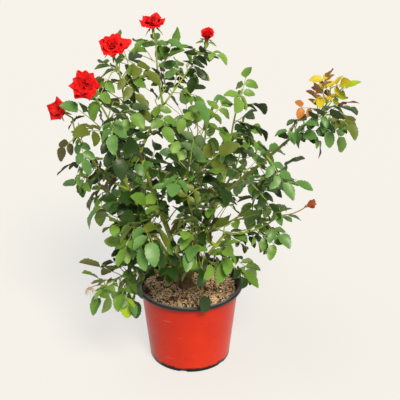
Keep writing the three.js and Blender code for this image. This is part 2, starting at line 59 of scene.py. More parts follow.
# Vectors turned about a unit axis: v cos a + (axis x v) sin a + axis (axis . v)(1 - cos a).
def turned(vectors, axis, angle):
    c, s = np.cos(angle)[..., None], np.sin(angle)[..., None]
    along = np.sum(vectors * axis, axis=-1, keepdims=True)
    return vectors * c + np.cross(axis, vectors) * s + axis * along * (1 - c)


# A bowed line from start to end that passes `bow` off the middle: start, control point and end.
def bowed(start, end, bow):
    return start, (start + end) / 2 + 2 * np.asarray(bow, float), end


# Points of a bowed line: (1-t)^2 start + 2t(1-t) control + t^2 end.
def pointOn(curve, t):
    t = np.asarray(t, float)[..., None]
    return (1 - t) ** 2 * curve[0] + 2 * t * (1 - t) * curve[1] + t**2 * curve[2]


def tangentOn(curve, t):
    t = np.asarray(t, float)[..., None]
    return unit((1 - t) * (curve[1] - curve[0]) + t * (curve[2] - curve[1]))


def lengthOf(curve):
    return np.linalg.norm(np.diff(pointOn(curve, np.linspace(0, 1, 201)), axis=0), axis=1).sum()


# From the first of two ends to the second: first + (second - first) t.
def blend(ends, t):
    return ends[0] + (ends[1] - ends[0]) * t


# Angles evenly round a circle, from 0.
def ringTurns(sides):
    return np.arange(sides) * 2 * math.pi / sides


# A seeded run of numbers from 0 to 1: state = state x 1664525 + 1013904223, kept to 32 bits.
def randomRun(seed):
    state = [seed * 2654435761 % 2**32]

    def draw():
        state[0] = (state[0] * 1664525 + 1013904223) % 2**32
        return state[0] / 2**32

    return draw


# Soft lumps over a plane or a surface: a sum of 14 sines in directions drawn by the seed, about -1 to 1.
def lumps(points, size, seed):
    rng = np.random.RandomState(seed)
    count = 14
    ways = unit(rng.normal(size=(count, points.shape[-1]))) * rng.uniform(0.6, 1.5, (count, 1))
    phases = rng.uniform(0, 2 * math.pi, count)
    return np.sin(points @ ways.T * (2 * math.pi / size) + phases).sum(-1) / math.sqrt(count / 2) / 2


# A hex colour as the linear colour that a shader takes.
def tone(code):
    srgb = np.array([int(code[i : i + 2], 16) for i in (1, 3, 5)]) / 255
    linear = np.where(srgb <= 0.04045, srgb / 12.92, ((srgb + 0.055) / 1.055) ** 2.4)
    return (*linear.tolist(), 1.0)


# Vertex numbers and faces of a closed skin on a grid whose last column meets its first. Its first and
# last rows are one point each. Returns the rows and columns to keep, and the faces.
def wrappedTemplate(rows, sides):
    number = np.zeros((rows, sides), int)
    number[1:-1] = 1 + np.arange((rows - 2) * sides).reshape(rows - 2, sides)
    number[-1] = 1 + (rows - 2) * sides
    here, there = number, np.roll(number, -1, axis=1)
    quads = np.stack([here[1:-2], there[1:-2], there[2:-1], here[2:-1]], -1).reshape(-1, 4)
    first = np.stack([here[0], there[1], here[1]], -1)
    last = np.stack([here[-2], there[-2], here[-1]], -1)
    keep = [(0, 0)] + [(r, c) for r in range(1, rows - 1) for c in range(sides)] + [(rows - 1, 0)]
    return np.array(keep).T, quads, np.concatenate([first, last])


# Wrapped skins, many of one kind at once, from grids of shape (count, rows, sides, 3).
def wrappedSkins(grids):
    keep, quads, tris = wrappedTemplate(*grids.shape[1:3])
    points = grids[:, keep[0], keep[1]]
    return stackCopies(points, quads, tris)


# The same faces for every copy of a shape, each numbered on from the copy before it.
def stackCopies(points, quads, tris):
    count, size = points.shape[:2]
    step = np.arange(count)[:, None, None] * size
    return {
        "points": points.reshape(-1, 3),
        "quads": (quads[None] + step).reshape(-1, 4),
        "tris": (tris[None] + step).reshape(-1, 3),
    }


# Thin closed blades from a front and a back grid of shape (count, rows, columns, 3) that share their
# border. The first row and, where `pointed`, the last row are one point each.
def bladeSkins(front, back, pointed=True, along=None):
    count, rows, columns, _ = front.shape
    along = np.linspace(0, 1, rows) if along is None else along
    lastRow = rows - 1
    number = -np.ones((2, rows, columns), int)
    keep = []
    for side in (0, 1):
        for r in range(rows):
            for c in range(columns):
                border = r in (0, lastRow) or c in (0, columns - 1)
                if side and border:
                    number[1, r, c] = number[0, r, c]
                elif c and (r == 0 or (r == lastRow and pointed)):
                    number[side, r, c] = number[side, r, 0]
                else:
                    number[side, r, c] = len(keep)
                    keep.append((side, r, c))
    quads, tris, quadBack, trisBack, quadUv, trisUv = [], [], [], [], [], []
    for side in (0, 1):
        for r in range(lastRow):
            for c in range(columns - 1):
                spots = [(r, c), (r, c + 1), (r + 1, c + 1), (r + 1, c)]
                if c == 0 and r == lastRow - 1:
                    spots = spots[1:] + spots[:1]  # else a face here would lie on border points alone
                if side:
                    spots = spots[:1] + spots[:0:-1]  # the same diagonal as in front
                corners, places = [], []
                for spot in spots:
                    if number[side][spot] not in corners:
                        corners.append(number[side][spot])
                        places.append((spot[1] / (columns - 1), along[spot[0]]))
                full = len(corners) == 4
                (quads if full else tris).append(corners)
                (quadBack if full else trisBack).append(side)
                (quadUv if full else trisUv).extend(places)
    keep = np.array(keep).T
    both = np.stack([front, back], 1)
    points = both[:, keep[0], keep[1], keep[2]]
    skins = stackCopies(points, np.array(quads), np.array(tris))
    edge = (keep[1] == 0) | (keep[1] == lastRow) | (keep[2] == 0) | (keep[2] == columns - 1)
    skins["edge"] = np.tile(edge, count)
    skins["isBack"] = np.concatenate([np.tile(quadBack, count), np.tile(trisBack, count)])
    skins["uv"] = np.concatenate([np.tile(quadUv, (count, 1)), np.tile(trisUv, (count, 1))])
    return skins


# A value for each copy of a shape, repeated for its faces, those with four sides first.
def perFace(values, skins):
    return np.concatenate([np.repeat(values, len(skins[kind]) // len(values)) for kind in ("quads", "tris")])


# Puts a skin into a mesh object on the plant's body. faceSlot gives each face's material. A skin's "edge"
# marks the points of outlines, whose edges stay sharp so that thin blades shade as two faces, "uv" maps
# the faces' corners, and "dark" is a value at each point that the bark reads.
def putMesh(name, skin, materials, nodes, faceSlot=None, flat=False):
    mesh = bpy.data.meshes.new(name)
    faces = skin["quads"].tolist() + skin["tris"].tolist()
    mesh.from_pydata((skin["points"] * 0.001).tolist(), [], faces)
    for material in materials:
        mesh.materials.append(material)
    if faceSlot is not None:
        mesh.polygons.foreach_set("material_index", np.asarray(faceSlot, np.int32))
    mesh.polygons.foreach_set("use_smooth", np.full(len(faces), not flat))
    if "edge" in skin:
        ends = np.empty(len(mesh.edges) * 2, np.int32)
        mesh.edges.foreach_get("vertices", ends)
        sharp = skin["edge"][ends].reshape(-1, 2).all(1)
        mesh.attributes.new("sharp_edge", "BOOLEAN", "EDGE").data.foreach_set("value", sharp)
    if "uv" in skin:
        mesh.uv_layers.new(name="blade").data.foreach_set("uv", skin["uv"].astype(np.float32).ravel())
    if "dark" in skin:
        shade = mesh.attributes.new("dark", "FLOAT", "POINT")
        shade.data.foreach_set("value", skin["dark"].astype(np.float32))
    mesh.update()
    piece = bpy.data.objects.new(name, mesh)
    bpy.context.scene.collection.objects.link(piece)
    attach(piece, "root")
    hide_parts(*nodes)
    print(f"{name}: {len(skin['quads']) * 2 + len(skin['tris'])} triangles")


# Several skins of one kind as one, with the numbers of the later ones moved on.
def joined(skins):
    start = np.cumsum([0] + [len(skin["points"]) for skin in skins[:-1]])
    kept = [key for key in ("points", "dark") if key in skins[0]]
    whole = {key: np.concatenate([skin[key] for skin in skins]) for key in kept}
    for key in ("quads", "tris"):
        whole[key] = np.concatenate([skin[key] + first for skin, first in zip(skins, start)])
    return whole


# Round tubes along centre lines of shape (count, rows, 3): centre + radius (a cos + b sin), closed
# by a point at each end. radii broadcasts to (count, rows, sides).
def tubeSkins(centres, radii, sides):
    tangents = unit(np.gradient(centres, axis=1))
    side = across(unit(centres[:, -1:] - centres[:, :1]))
    a = unit(side - tangents * np.sum(side * tangents, axis=-1, keepdims=True))
    b = np.cross(tangents, a)
    turn = ringTurns(sides)
    ring = a[:, :, None] * np.cos(turn)[:, None] + b[:, :, None] * np.sin(turn)[:, None]
    radii = np.broadcast_to(radii, ring.shape[:-1])
    grid = centres[:, :, None] + ring * radii[..., None]
    ends = [np.repeat(centres[:, [row]][:, :, None], sides, axis=2) for row in (0, -1)]
    return wrappedSkins(np.concatenate([ends[0], grid, ends[1]], axis=1))


# A piece turned about the Z axis from a closed profile of (radius, height) points, both ends on the axis.
def latheGrid(profile, sides):
    turn = ringTurns(sides)
    radius, height = np.array(profile, float).T
    x, y = radius[:, None] * np.cos(turn), radius[:, None] * np.sin(turn)
    return np.stack([x, y, np.broadcast_to(height[:, None], x.shape)], -1)


# A material and its shader, with plain values on the shader's own sockets.
def newMaterial(name, colour, roughness, **sockets):
    material = bpy.data.materials.new(name)
    material.use_nodes = True
    shader = material.node_tree.nodes["Principled BSDF"]
    shader.inputs["Base Color"].default_value = tone(colour)
    shader.inputs["Roughness"].default_value = roughness
    for key, value in sockets.items():
        shader.inputs[key].default_value = value
    return material, shader


def addNode(tree, kind, inputs, **settings):
    node = tree.nodes.new(kind)
    for key, value in settings.items():
        setattr(node, key, value)
    for key, value in inputs.items():
        if isinstance(value, bpy.types.NodeSocket):
            tree.links.new(value, node.inputs[key])
        else:
            node.inputs[key].default_value = value
    return node


# A new material whose patterns read the object's own place: it, its shader, its node tree and the place.
def patterned(name, colour, roughness, **sockets):
    material, shader = newMaterial(name, colour, roughness, **sockets)
    tree = material.node_tree
    return material, shader, tree, addNode(tree, "ShaderNodeTexCoord", {}).outputs["Object"]


def noiseOf(tree, place, scale, detail=3.0):
    inputs = {"Vector": place, "Scale": scale, "Detail": detail, "Roughness": 0.55}
    return addNode(tree, "ShaderNodeTexNoise", inputs).outputs["Fac"]


def mathOf(tree, operation, *values):
    return addNode(tree, "ShaderNodeMath", dict(enumerate(values)), operation=operation).outputs[0]


def heightOf(tree, place):
    return addNode(tree, "ShaderNodeSeparateXYZ", {"Vector": place}).outputs["Z"]


def stretched(tree, place, scale):
    return addNode(tree, "ShaderNodeMapping", {"Vector": place, "Scale": scale}).outputs["Vector"]


# Bends the shader's normals by a height, in one or more layers: (height, strength, depth in metres).
def addBumps(tree, shader, *layers):
    below = {}
    for height, strength, depth in layers:
        inputs = {"Height": height, "Strength": strength, "Distance": depth} | below
        below = {"Normal": addNode(tree, "ShaderNodeBump", inputs).outputs["Normal"]}
    tree.links.new(below["Normal"], shader.inputs["Normal"])


# Colours along a ramp, driven by a factor: rows of (place, hex colour).
def rampOf(tree, factor, rows):
    ramp = addNode(tree, "ShaderNodeValToRGB", {"Fac": factor})
    stops = ramp.color_ramp.elements
    while len(stops) < len(rows):
        stops.new(0.5)
    for stop, (place, colour) in zip(stops, rows):
        stop.position = place
        stop.color = tone(colour)
    return ramp.outputs["Color"]


def mixed(tree, factor, first, second, way="MIX"):
    inputs = {0: factor, 6: first, 7: second}
    return addNode(tree, "ShaderNodeMix", inputs, data_type="RGBA", blend_type=way).outputs[2]


# The camera, the floor and the light. Each sun has the way towards it, its strength, how wide it looks
# in degrees, and its colour.
studio = {
    "cameraPlace": (22, -2140, 1437),
    "cameraDown": 26.6,  # degrees
    "lens": 105.5,
    "floorReach": 9000,
    "floorColour": "#6b6962",
    "floorGlow": 0.665,  # the floor's own share of its brightness, as on a lit sweep
    "glowColour": "#fffefc",
    "worldColour": "#f7f4ee",
    "worldStrength": 0.28,
    "suns": {
        "key_light": ((0.3, -0.88, 1.0), 4.4, 20, "#fff3dc"),
        "fill_light": ((-0.3, -0.12, 1.0), 1.1, 40, "#fdf8ee"),
    },
}


def makeCamera(settings):
    camera = bpy.data.objects.new("camera", bpy.data.cameras.new("camera"))
    camera.data.lens = settings["lens"]
    camera.location = np.array(settings["cameraPlace"]) * 0.001
    camera.rotation_euler = (math.radians(90 - settings["cameraDown"]), 0, 0)
    bpy.context.scene.collection.objects.link(camera)
    bpy.context.scene.camera = camera


def makeSun(name, way, strength, softness, colour):
    sun = bpy.data.objects.new(name, bpy.data.lights.new(name, "SUN"))
    sun.data.energy = strength
    sun.data.angle = math.radians(softness)
    sun.data.color = tone(colour)[:3]
    x, y, z = unit(np.array(way, float))
    sun.rotation_euler = (math.acos(z), 0, math.atan2(x, -y))
    bpy.context.scene.collection.objects.link(sun)


def makeFloor(settings):
    reach = settings["floorReach"] * 0.001
    mesh = bpy.data.meshes.new("floor")
    corners = [(-reach, -reach, 0), (reach, -reach, 0), (reach, reach, 0), (-reach, reach, 0)]
    mesh.from_pydata(corners, [], [(0, 1, 2, 3)])
    material, shader = newMaterial("floor_paper", settings["floorColour"], 0.9)
    shader.inputs["Emission Color"].default_value = tone(settings["glowColour"])
    shader.inputs["Emission Strength"].default_value = settings["floorGlow"]
    mesh.materials.append(material)
    floor = bpy.data.objects.new("floor", mesh)
    floor.location.z = -0.0005
    bpy.context.scene.collection.objects.link(floor)


def makeStudio(settings):
    makeCamera(settings)
    makeFloor(settings)
    for name, sun in settings["suns"].items():
        makeSun(name, *sun)
    world = bpy.data.worlds.new("studio")
    world.use_nodes = True
    background = world.node_tree.nodes["Background"]
    background.inputs["Color"].default_value = tone(settings["worldColour"])
    background.inputs["Strength"].default_value = settings["worldStrength"]
    bpy.context.scene.world = world
    bpy.context.scene.view_settings.view_transform = "Standard"


makeStudio(studio)
print("studio made")


# The pot: a red wall with drain notches in its foot, and a dark liner that rolls over as its rim.
pot = {
    "height": 175,
    "rimRadius": 112.5,
    "footRadius": 85,
    "wall": 1.5,
    "floor": 5,
    "footRound": 3,
    "footRows": 9,
    "wallRows": 34,
    "lip": 8.5,
    "lipOverhang": 9.5,
    "lipRoll": (4.2, 3.9),  # half the width and the rise of its rounded top
    "lipTurn": (-10, 165, 15),  # degrees that the top rolls through, and its rows
    "linerFoot": 11,
    "linerRows": 14,
    "sides": 216,
    "drains": 6,
    "drainTurn": 0.35,  # of the way between two drains
    "drainWidth": 15,
    "drainHeight": 3.4,
    "drainDepth": 9,
    "drainEase": 0.22,  # share of a notch's half width that its side takes to rise
    "nickTurn": -84,  # degrees, where the rim's seam is
    "nickHalf": 0.028,  # radians
    "nickDepth": 1.3,
    "nickInward": 0.006,  # share of the radius for each mm of its depth
}
lipFoot = pot["height"] - pot["lip"]


# The wall's outer radius: a straight taper from the foot to the lip.
def wallRadius(z):
    rim = pot["rimRadius"] - pot["lipOverhang"]
    return pot["footRadius"] + (rim - pot["footRadius"]) * np.asarray(z) / lipFoot


def linerIn(z):
    return wallRadius(z) - 2 * pot["wall"] - gap


# Red with soft patches, a few pale level scuffs, and a ragged near-black line along the foot that is painted
# shade where the pot meets the floor.
def redPlastic():
    material, shader, tree, place = patterned("red_plastic", "#d42312", 0.27, **{"Specular IOR Level": 0.22})
    body = rampOf(tree, noiseOf(tree, place, 9.0), [(0.3, "#b22003"), (0.55, "#c12603"), (0.8, "#cc2e04")])
    scuff = noiseOf(tree, stretched(tree, place, (16.0, 16.0, 300.0)), 1.0, 1.0)
    dull = rampOf(tree, scuff, [(0.74, "#000000"), (0.78, "#8c8c8c")])
    colour = mixed(tree, dull, body, tone("#f4a088"))
    # Painted shade: a ragged near-black line along the very foot of the wall, where it meets the floor.
    edge = mathOf(tree, "MULTIPLY_ADD", noiseOf(tree, place, 55.0, 4.0), -0.016, heightOf(tree, place))
    footShadeMask = rampOf(tree, edge, [(0.0, "#ffffff"), (0.0012, "#000000")])
    tree.links.new(mixed(tree, footShadeMask, colour, tone("#0e0807")), shader.inputs["Base Color"])
    rough = rampOf(tree, noiseOf(tree, place, 34.0, 4.0), [(0.3, "#8a8a8a"), (0.75, "#a4a4a4")])
    tree.links.new(rough, shader.inputs["Roughness"])
    addBumps(tree, shader, (noiseOf(tree, place, 22.0), 0.12, 0.0012))
    return material


# Near black with patches of wear, and a painted highlight: paler grey-blue along the top of the rim.
def darkPlastic():
    material, shader, tree, place = patterned("dark_plastic", "#33363c", 0.4, **{"Specular IOR Level": 0.3})
    rows = [(0.35, "#121316"), (0.6, "#1e2024"), (0.85, "#3a3e43")]
    colour = rampOf(tree, noiseOf(tree, place, 40.0, 4.0), rows)
    # Painted highlight: the top of the rim, above its side, turns pale grey-blue.
    aboveSide = mathOf(tree, "SUBTRACT", heightOf(tree, place), pot["height"] * 0.001 - 0.0016)
    topHighlightMask = rampOf(tree, aboveSide, [(0.0, "#000000"), (0.0013, "#ffffff")])
    tree.links.new(mixed(tree, topHighlightMask, colour, tone("#9aa2ac")), shader.inputs["Base Color"])
    addBumps(tree, shader, (noiseOf(tree, place, 160.0), 0.2, 0.0006))
    return material


# How far into a drain notch a direction lies, from 0 beside it to 1 inside it.
def notchAt(turn, settings):
    pitch = 2 * math.pi / settings["drains"]
    off = (turn - settings["drainTurn"] * pitch + pitch / 2) % pitch - pitch / 2
    half = settings["drainWidth"] / 2 / settings["footRadius"]
    return np.clip((half - np.abs(off)) / (half * settings["drainEase"]), 0, 1)


# The wall: a turned profile, up its outside and down its inside, whose foot is lifted at each notch.
def makePot(settings):
    bend = settings["footRound"]
    foot = float(wallRadius(bend)) - bend
    inset = foot - settings["drainDepth"]
    profile = [(0, 0), (inset, 0), (inset + 1, 0)]
    turns = np.radians(np.linspace(0, 90, settings["footRows"]))
    profile += [(foot + bend * math.sin(a), bend * (1 - math.cos(a))) for a in turns]
    footEnd = len(profile)
    heights = np.linspace(bend, lipFoot - gap, settings["wallRows"])[1:]
    profile += [(float(wallRadius(z)), z) for z in heights]
    profile += [(float(wallRadius(z)) - settings["wall"], z) for z in heights[::-1]]
    inner = float(wallRadius(bend)) - settings["wall"]
    profile += [(inner, bend), (foot, settings["floor"]), (0, settings["floor"])]
    grid = latheGrid(profile, settings["sides"])
    row = np.arange(len(profile))[:, None]
    raised = (grid[:, :, 2] < settings["drainHeight"]) & (row > 1) & (row < footEnd)
    lift = notchAt(ringTurns(settings["sides"]), settings)[None] * settings["drainHeight"]
    grid[:, :, 2] = np.where(raised, np.maximum(grid[:, :, 2], lift), grid[:, :, 2])
    putMesh("pot_wall_skin", wrappedSkins(grid[None]), [redPlastic()], ["pot_wall"])


def linerOut(z):
    return float(wallRadius(z)) - pot["wall"] - gap


# The liner and rim: a turned ring, up inside the wall, over the rounded lip and down its own inside,
# with a shallow nick in the lip at the seam, depth x exp(-(angle / half)^2).
def makeRim(settings):
    rim, foot = settings["rimRadius"], settings["linerFoot"]
    profile = [(linerOut(foot) - 0.75, foot), (linerOut(foot) - 0.2, foot), (linerOut(lipFoot), lipFoot)]
    profile += [(rim - 1.4, lipFoot), (rim - 0.5, lipFoot + 0.8)]
    roll, rise = settings["lipRoll"]
    centre = (rim - roll, settings["height"] - rise)
    turns = np.radians(np.linspace(*settings["lipTurn"]))
    profile += [(centre[0] + roll * math.cos(a), centre[1] + rise * math.sin(a)) for a in turns]
    profile += [(float(linerIn(z)), z) for z in np.linspace(lipFoot, foot, settings["linerRows"])]
    grid = latheGrid(profile, settings["sides"])
    seam = ringTurns(settings["sides"]) - math.radians(settings["nickTurn"])
    off = np.abs((seam + math.pi) % (2 * math.pi) - math.pi)
    nick = np.exp(-((off / settings["nickHalf"]) ** 2)) * settings["nickDepth"]
    lip = grid[:, :, 2] > lipFoot + 1
    grid[:, :, 2] -= np.where(lip, nick[None], 0)
    grid[:, :, :2] *= np.where(lip, 1 - nick[None] * settings["nickInward"], 1)[..., None]
    putMesh("pot_liner_skin", ringSkin(grid), [darkPlastic()], ["pot_liner"])


# A ring: a grid whose rows and columns both close on themselves.
def ringSkin(grid):
    rows, sides, _ = grid.shape
    number = np.arange(rows * sides).reshape(rows, sides)
    there = np.roll(number, -1, axis=1)
    quads = np.stack([number, there, np.roll(there, -1, axis=0), np.roll(number, -1, axis=0)], -1)
    return {"points": grid.reshape(-1, 3), "quads": quads.reshape(-1, 4), "tris": np.zeros((0, 3), int)}


makePot(pot)
makeRim(pot)
print("pot made")


# The potting mix: a lumpy bed, and loose chips of bark, fibre and white grit that lie on it.
mix = {
    "edge": 160,
    "middle": 164,
    "flatRadius": 26,
    "foot": 12,
    "rings": 46,
    "sides": 120,
    "lumpHeight": 1.6,
    "chips": 5200,
    "chipSize": (1.1, 2.6),
    "chipStretch": (0.55, 1.35),  # of its size along each way
    "chipFlat": 0.6,
    "seed": 7,
    "peat": "#33271c",
    "shades": ["#c39a72", "#e2bf95", "#f6dcb9", "#eab8a2", "#7c5c3e", "#241910", "#fffaf0"],
    "shares": [0.18, 0.24, 0.19, 0.13, 0.06, 0.1, 0.1],
}


# The bed's height: flat in the middle, falling to the edge, with two sizes of lumps.
def bedHeight(x, y, settings):
    out = np.hypot(x, y)
    reach = float(linerIn(settings["edge"]))
    fall = np.clip((out - settings["flatRadius"]) / (reach - settings["flatRadius"]), 0, 1) ** 1.4
    place = np.stack([x, y], -1)
    rough = lumps(place, 26, settings["seed"]) * 0.6 + lumps(place, 8, settings["seed"] + 1) * 0.4
    drop = (settings["middle"] - settings["edge"]) * fall
    return settings["middle"] - drop + rough * settings["lumpHeight"]


def soilMaterial(name, colour):
    material, shader, tree, place = patterned(name, colour, 0.93)
    shade = rampOf(tree, noiseOf(tree, place, 260.0, 4.0), [(0.35, "#dedede"), (0.6, "#ffffff")])
    # Painted shade: large darker patches over the bed and chips, standing in for shade falling on the mix.
    paintedShadePatches = rampOf(tree, noiseOf(tree, place, 26.0, 2.0), [(0.32, "#6e665e"), (0.42, "#ffffff")])
    shade = mixed(tree, 1.0, shade, paintedShadePatches, "MULTIPLY")
    tree.links.new(mixed(tree, 1.0, tone(colour), shade, "MULTIPLY"), shader.inputs["Base Color"])
    addBumps(tree, shader, (noiseOf(tree, place, 700.0), 0.5, 0.0006))
    return material


def makeMix(settings):
    reach = float(linerIn(settings["edge"])) - gap
    turn = ringTurns(settings["sides"])
    out = np.linspace(0, 1, settings["rings"])[:, None] * reach
    x, y = out * np.cos(turn), out * np.sin(turn)
    top = np.stack([x, y, bedHeight(x, y, settings)], -1)
    foot = settings["foot"]
    low = latheGrid([(float(linerIn(foot)) - gap, foot), (0, foot)], settings["sides"])
    bed = wrappedSkins(np.concatenate([top, low])[::-1][None])
    putMesh("mix_bed", bed, [soilMaterial("peat", settings["peat"])], ["potting_mix"])
    rng = np.random.RandomState(settings["seed"])
    count = settings["chips"]
    far = np.sqrt(rng.uniform(0, 1, count)) * (reach - 2)
    angle = rng.uniform(0, 2 * math.pi, count)
    x, y = far * np.cos(angle), far * np.sin(angle)
    kind = rng.choice(len(settings["shades"]), count, p=settings["shares"])
    size = rng.uniform(*settings["chipSize"], (count, 1)) * rng.uniform(*settings["chipStretch"], (count, 3))
    size[:, 2] *= settings["chipFlat"]
    bits = pebbles(rng, size)
    centre = np.stack([x, y, bedHeight(x, y, settings) + size[:, 2] * 0.25], -1)
    skins = wrappedSkins(bits + centre[:, None, None])
    shades = [soilMaterial(f"chip_{i}", shade) for i, shade in enumerate(settings["shades"])]
    putMesh("mix_chips", skins, shades, ["potting_mix"], perFace(kind, skins), flat=True)


# Pebbles of twelve points, shape (count, 4, 5, 3): two poles and two rings half a side apart, each
# point pushed in or out a little, scaled by size and turned about a drawn axis.
def pebbles(rng, size):
    count = len(size)
    ball = []
    for height, radius, shift in ((-1, 0, 0), (-0.45, 0.89, 0), (0.45, 0.89, math.pi / 5), (1, 0, 0)):
        turn = ringTurns(5) + shift
        ball.append(np.stack([np.cos(turn) * radius, np.sin(turn) * radius, np.full(5, height)], -1))
    push = rng.uniform(0.72, 1.22, (count, 4, 5, 1))
    push[:, 0] = push[:, 0, :1]
    push[:, 3] = push[:, 3, :1]
    grid = np.array(ball, float) * push * size[:, None, None]
    axis = unit(rng.normal(size=(count, 3)) + [0, 0, 1.6])
    return turned(grid, axis[:, None, None], rng.uniform(0, 2 * math.pi, (count, 1, 1)))


makeMix(mix)
print("potting mix made")


# The canes and boughs, grown as the source grows them: what each stands on (None for the crown) and
# the point along it, or the height on the crown's axis; where it ends; its bow; and its two radii.
limbRows = {
    "cane_left": (None, 186, (-98, -5, 471), (-3, 0, 0), (4.2, 3.1)),
    "cane_right": (None, 184, (66, -30, 392), (-10, -4, 10), (4.6, 3.8)),
    "cane_centre": (None, 190, (26, 62, 430), (2, 10, 0), (3.8, 2.6)),
    "cane_left_front": (None, 178, (-138, -74, 480), (-8, -6, 0), (3.9, 2.7)),
    "cane_back_left": (None, 184, (-78, 118, 345), (-6, 10, 10), (3.9, 2.7)),
    "cane_back_right": (None, 180, (72, 110, 335), (4, 10, 8), (3.9, 2.7)),
    "cane_front": (None, 176, (14, -72, 286), (2, -8, 4), (3.2, 2.3)),
    "cane_low_right": (None, 174, (74, -52, 316), (4, -4, 8), (3.5, 2.6)),
    "cane_low_left": (None, 172, (-89, -60, 236), (-4, -6, 12), (3.2, 2.3)),
    "cane_far_left": (None, 174, (-145, 40, 334), (-8, 6, 8), (3.4, 2.4)),
    "bough_arch": ("cane_right", 1, (240, -50, 568), (2, 0, -2), (3.7, 2.3)),
    "bough_top": ("cane_left", 1, (-51, 5, 572), (-4, 2, -4), (3, 2.4)),
    "bough_upper_left": ("cane_left", 0.96, (-124, -32, 562), (-3, -3, -8), (2.7, 2.1)),
    "bough_outer_left": ("cane_left_front", 0.8, (-196, -70, 512), (-8, 0, -12), (2.4, 1.9)),
    "bough_centre_right": ("cane_right", 0.62, (80, 16, 452), (6, 4, -8), (3, 2.2)),
    "bough_back": ("cane_centre", 0.35, (6, 140, 395), (-2, 6, -8), (2.8, 2.1)),
    "bough_right_back": ("cane_back_right", 0.45, (124, 66, 310), (4, 4, -6), (2.7, 2.0)),
    "bough_front_right": ("cane_low_right", 0.45, (66, -78, 262), (2, -6, -6), (2.2, 1.8)),
    "bough_front_left": ("cane_left_front", 0.3, (-70, -92, 330), (4, -6, -4), (2.4, 1.9)),
}

# The leafy stems that go on from them: the same, then their leaf nodes, side twigs and the twigs'
# length, the leaflets' length, how far the leaves hang, and the seed.
stemRows = {
    "foliage_top": ("bough_top", 1, (-63, 20, 690), (-3, 3, 0), (2.3, 1.5), 4, 0, 0, 42, 0.3, 11),
    "foliage_top_right": ("bough_top", 0.9, (34, 70, 673), (-6, 2, -10), (2, 1.4), 5, 0, 0, 42, 0.45, 12),
    "foliage_upper_left": ("bough_upper_left", 1, (-141, -30, 686), (5, 0, 0),
        (2, 1.5), 5, 0, 0, 46, 0.9, 13),
    "foliage_left_front": ("cane_left_front", 1, (-182, -90, 636), (14, 2, 2),
        (2.6, 1.5), 4, 1, 44, 47, 0.7, 14),
    "foliage_outer_left": ("bough_outer_left", 1, (-222, -62, 572), (-6, 0, -6),
        (1.8, 1.4), 3, 0, 0, 36, 0.8, 15),
    "foliage_far_left": ("cane_far_left", 1, (-218, 60, 392), (0, 4, 8), (2.3, 1.3), 5, 0, 0, 38, 0.5, 16),
    "foliage_centre": ("cane_centre", 1, (40, 80, 526), (0, 2, 0), (2.5, 1.5), 5, 1, 44, 48, 0.5, 17),
    "foliage_centre_right": ("bough_centre_right", 1, (105, 20, 600), (-4, 0, 0),
        (2.1, 1.4), 5, 0, 0, 44, 0.8, 18),
    "foliage_arch": ("bough_arch", 0.95, (280, -66, 580), (0, -4, 8), (1.6, 1.2), 5, 0, 0, 40, 0.9, 19),
    "foliage_arch_tip": ("bough_arch", 1, (270, -52, 632), (8, 0, -6), (2.2, 1.3), 5, 0, 0, 36, 0.4, 20),
    "foliage_right_spray": ("bough_arch", 0.2, (175, -72, 462), (0, -4, -6),
        (1.7, 1.2), 4, 0, 0, 40, 0.35, 21),
    "foliage_low_right": ("cane_low_right", 1, (180, -88, 376), (0, -4, -12),
        (2.5, 1.4), 5, 0, 0, 38, 0.3, 22),
    "foliage_low_left": ("cane_low_left", 1, (-170, -100, 222), (-2, 0, 6),
        (2.2, 1.3), 5, 0, 0, 42, 0.45, 23),
    "foliage_front": ("cane_front", 1, (2, -124, 362), (4, -10, 4), (2.2, 1.4), 6, 2, 44, 46, 0.6, 24),
    "foliage_front_right": ("bough_front_right", 1, (70, -118, 322), (0, -6, 6),
        (1.8, 1.3), 4, 0, 0, 42, 0.4, 25),
    "foliage_front_left": ("bough_front_left", 1, (-92, -132, 392), (2, -6, 0),
        (1.8, 1.3), 5, 1, 44, 48, 0.6, 26),
    "foliage_middle": ("cane_right", 0.86, (-16, -92, 474), (4, -14, 4), (2.4, 1.4), 7, 2, 46, 47, 0.55, 27),
    "foliage_low_middle": ("cane_low_left", 0.6, (-62, -108, 290), (0, -8, 10),
        (1.9, 1.3), 4, 0, 0, 42, 0.35, 28),
    "foliage_back": ("bough_back", 1, (-4, 178, 452), (0, 6, -4), (2, 1.3), 5, 0, 0, 50, 0.6, 29),
    "foliage_back_left": ("cane_back_left", 1, (-122, 160, 404), (-4, 6, -4),
        (2.6, 1.4), 5, 0, 0, 50, 0.6, 30),
    "foliage_back_right": ("cane_back_right", 1, (112, 158, 412), (4, 6, -4),
        (2.6, 1.4), 5, 0, 0, 50, 0.6, 31),
    "foliage_right_back": ("bough_right_back", 1, (140, 80, 354), (4, 0, -4),
        (1.9, 1.3), 5, 0, 0, 44, 0.4, 32),
}

# The open flowers: the stem each stands on, its seat, the way it faces and the reach of its petals.
flowerRows = {
    "bloom_top": ("foliage_top", (-68, 20, 728), (-0.12, -0.1, 1), 30),
    "bud_top_right": ("foliage_top_right", (35, 70, 682), (0.1, -0.1, 1), 23),
    "bloom_upper_left": ("foliage_upper_left", (-141, -31, 700), (0, -0.45, 1), 33),
    "bloom_left": ("foliage_left_front", (-190, -94, 650), (-0.1, -0.85, 0.5), 34),
    "bloom_outer_left": ("foliage_outer_left", (-245, -64, 588), (-0.5, -0.7, 0.5), 26),
}

flowers = {name: (stem, np.array(seat, float), unit(np.array(way, float)), reach)
           for name, (stem, seat, way, reach) in flowerRows.items()}

crown = {
    "place": (-8, 0),
    "height": 38,
    "rows": [(0, 19), (0.22, 14), (0.5, 13), (0.72, 15), (0.92, 10.8), (1, 0)],  # share of height, radius
    "levels": 26,
    "sides": 40,
}

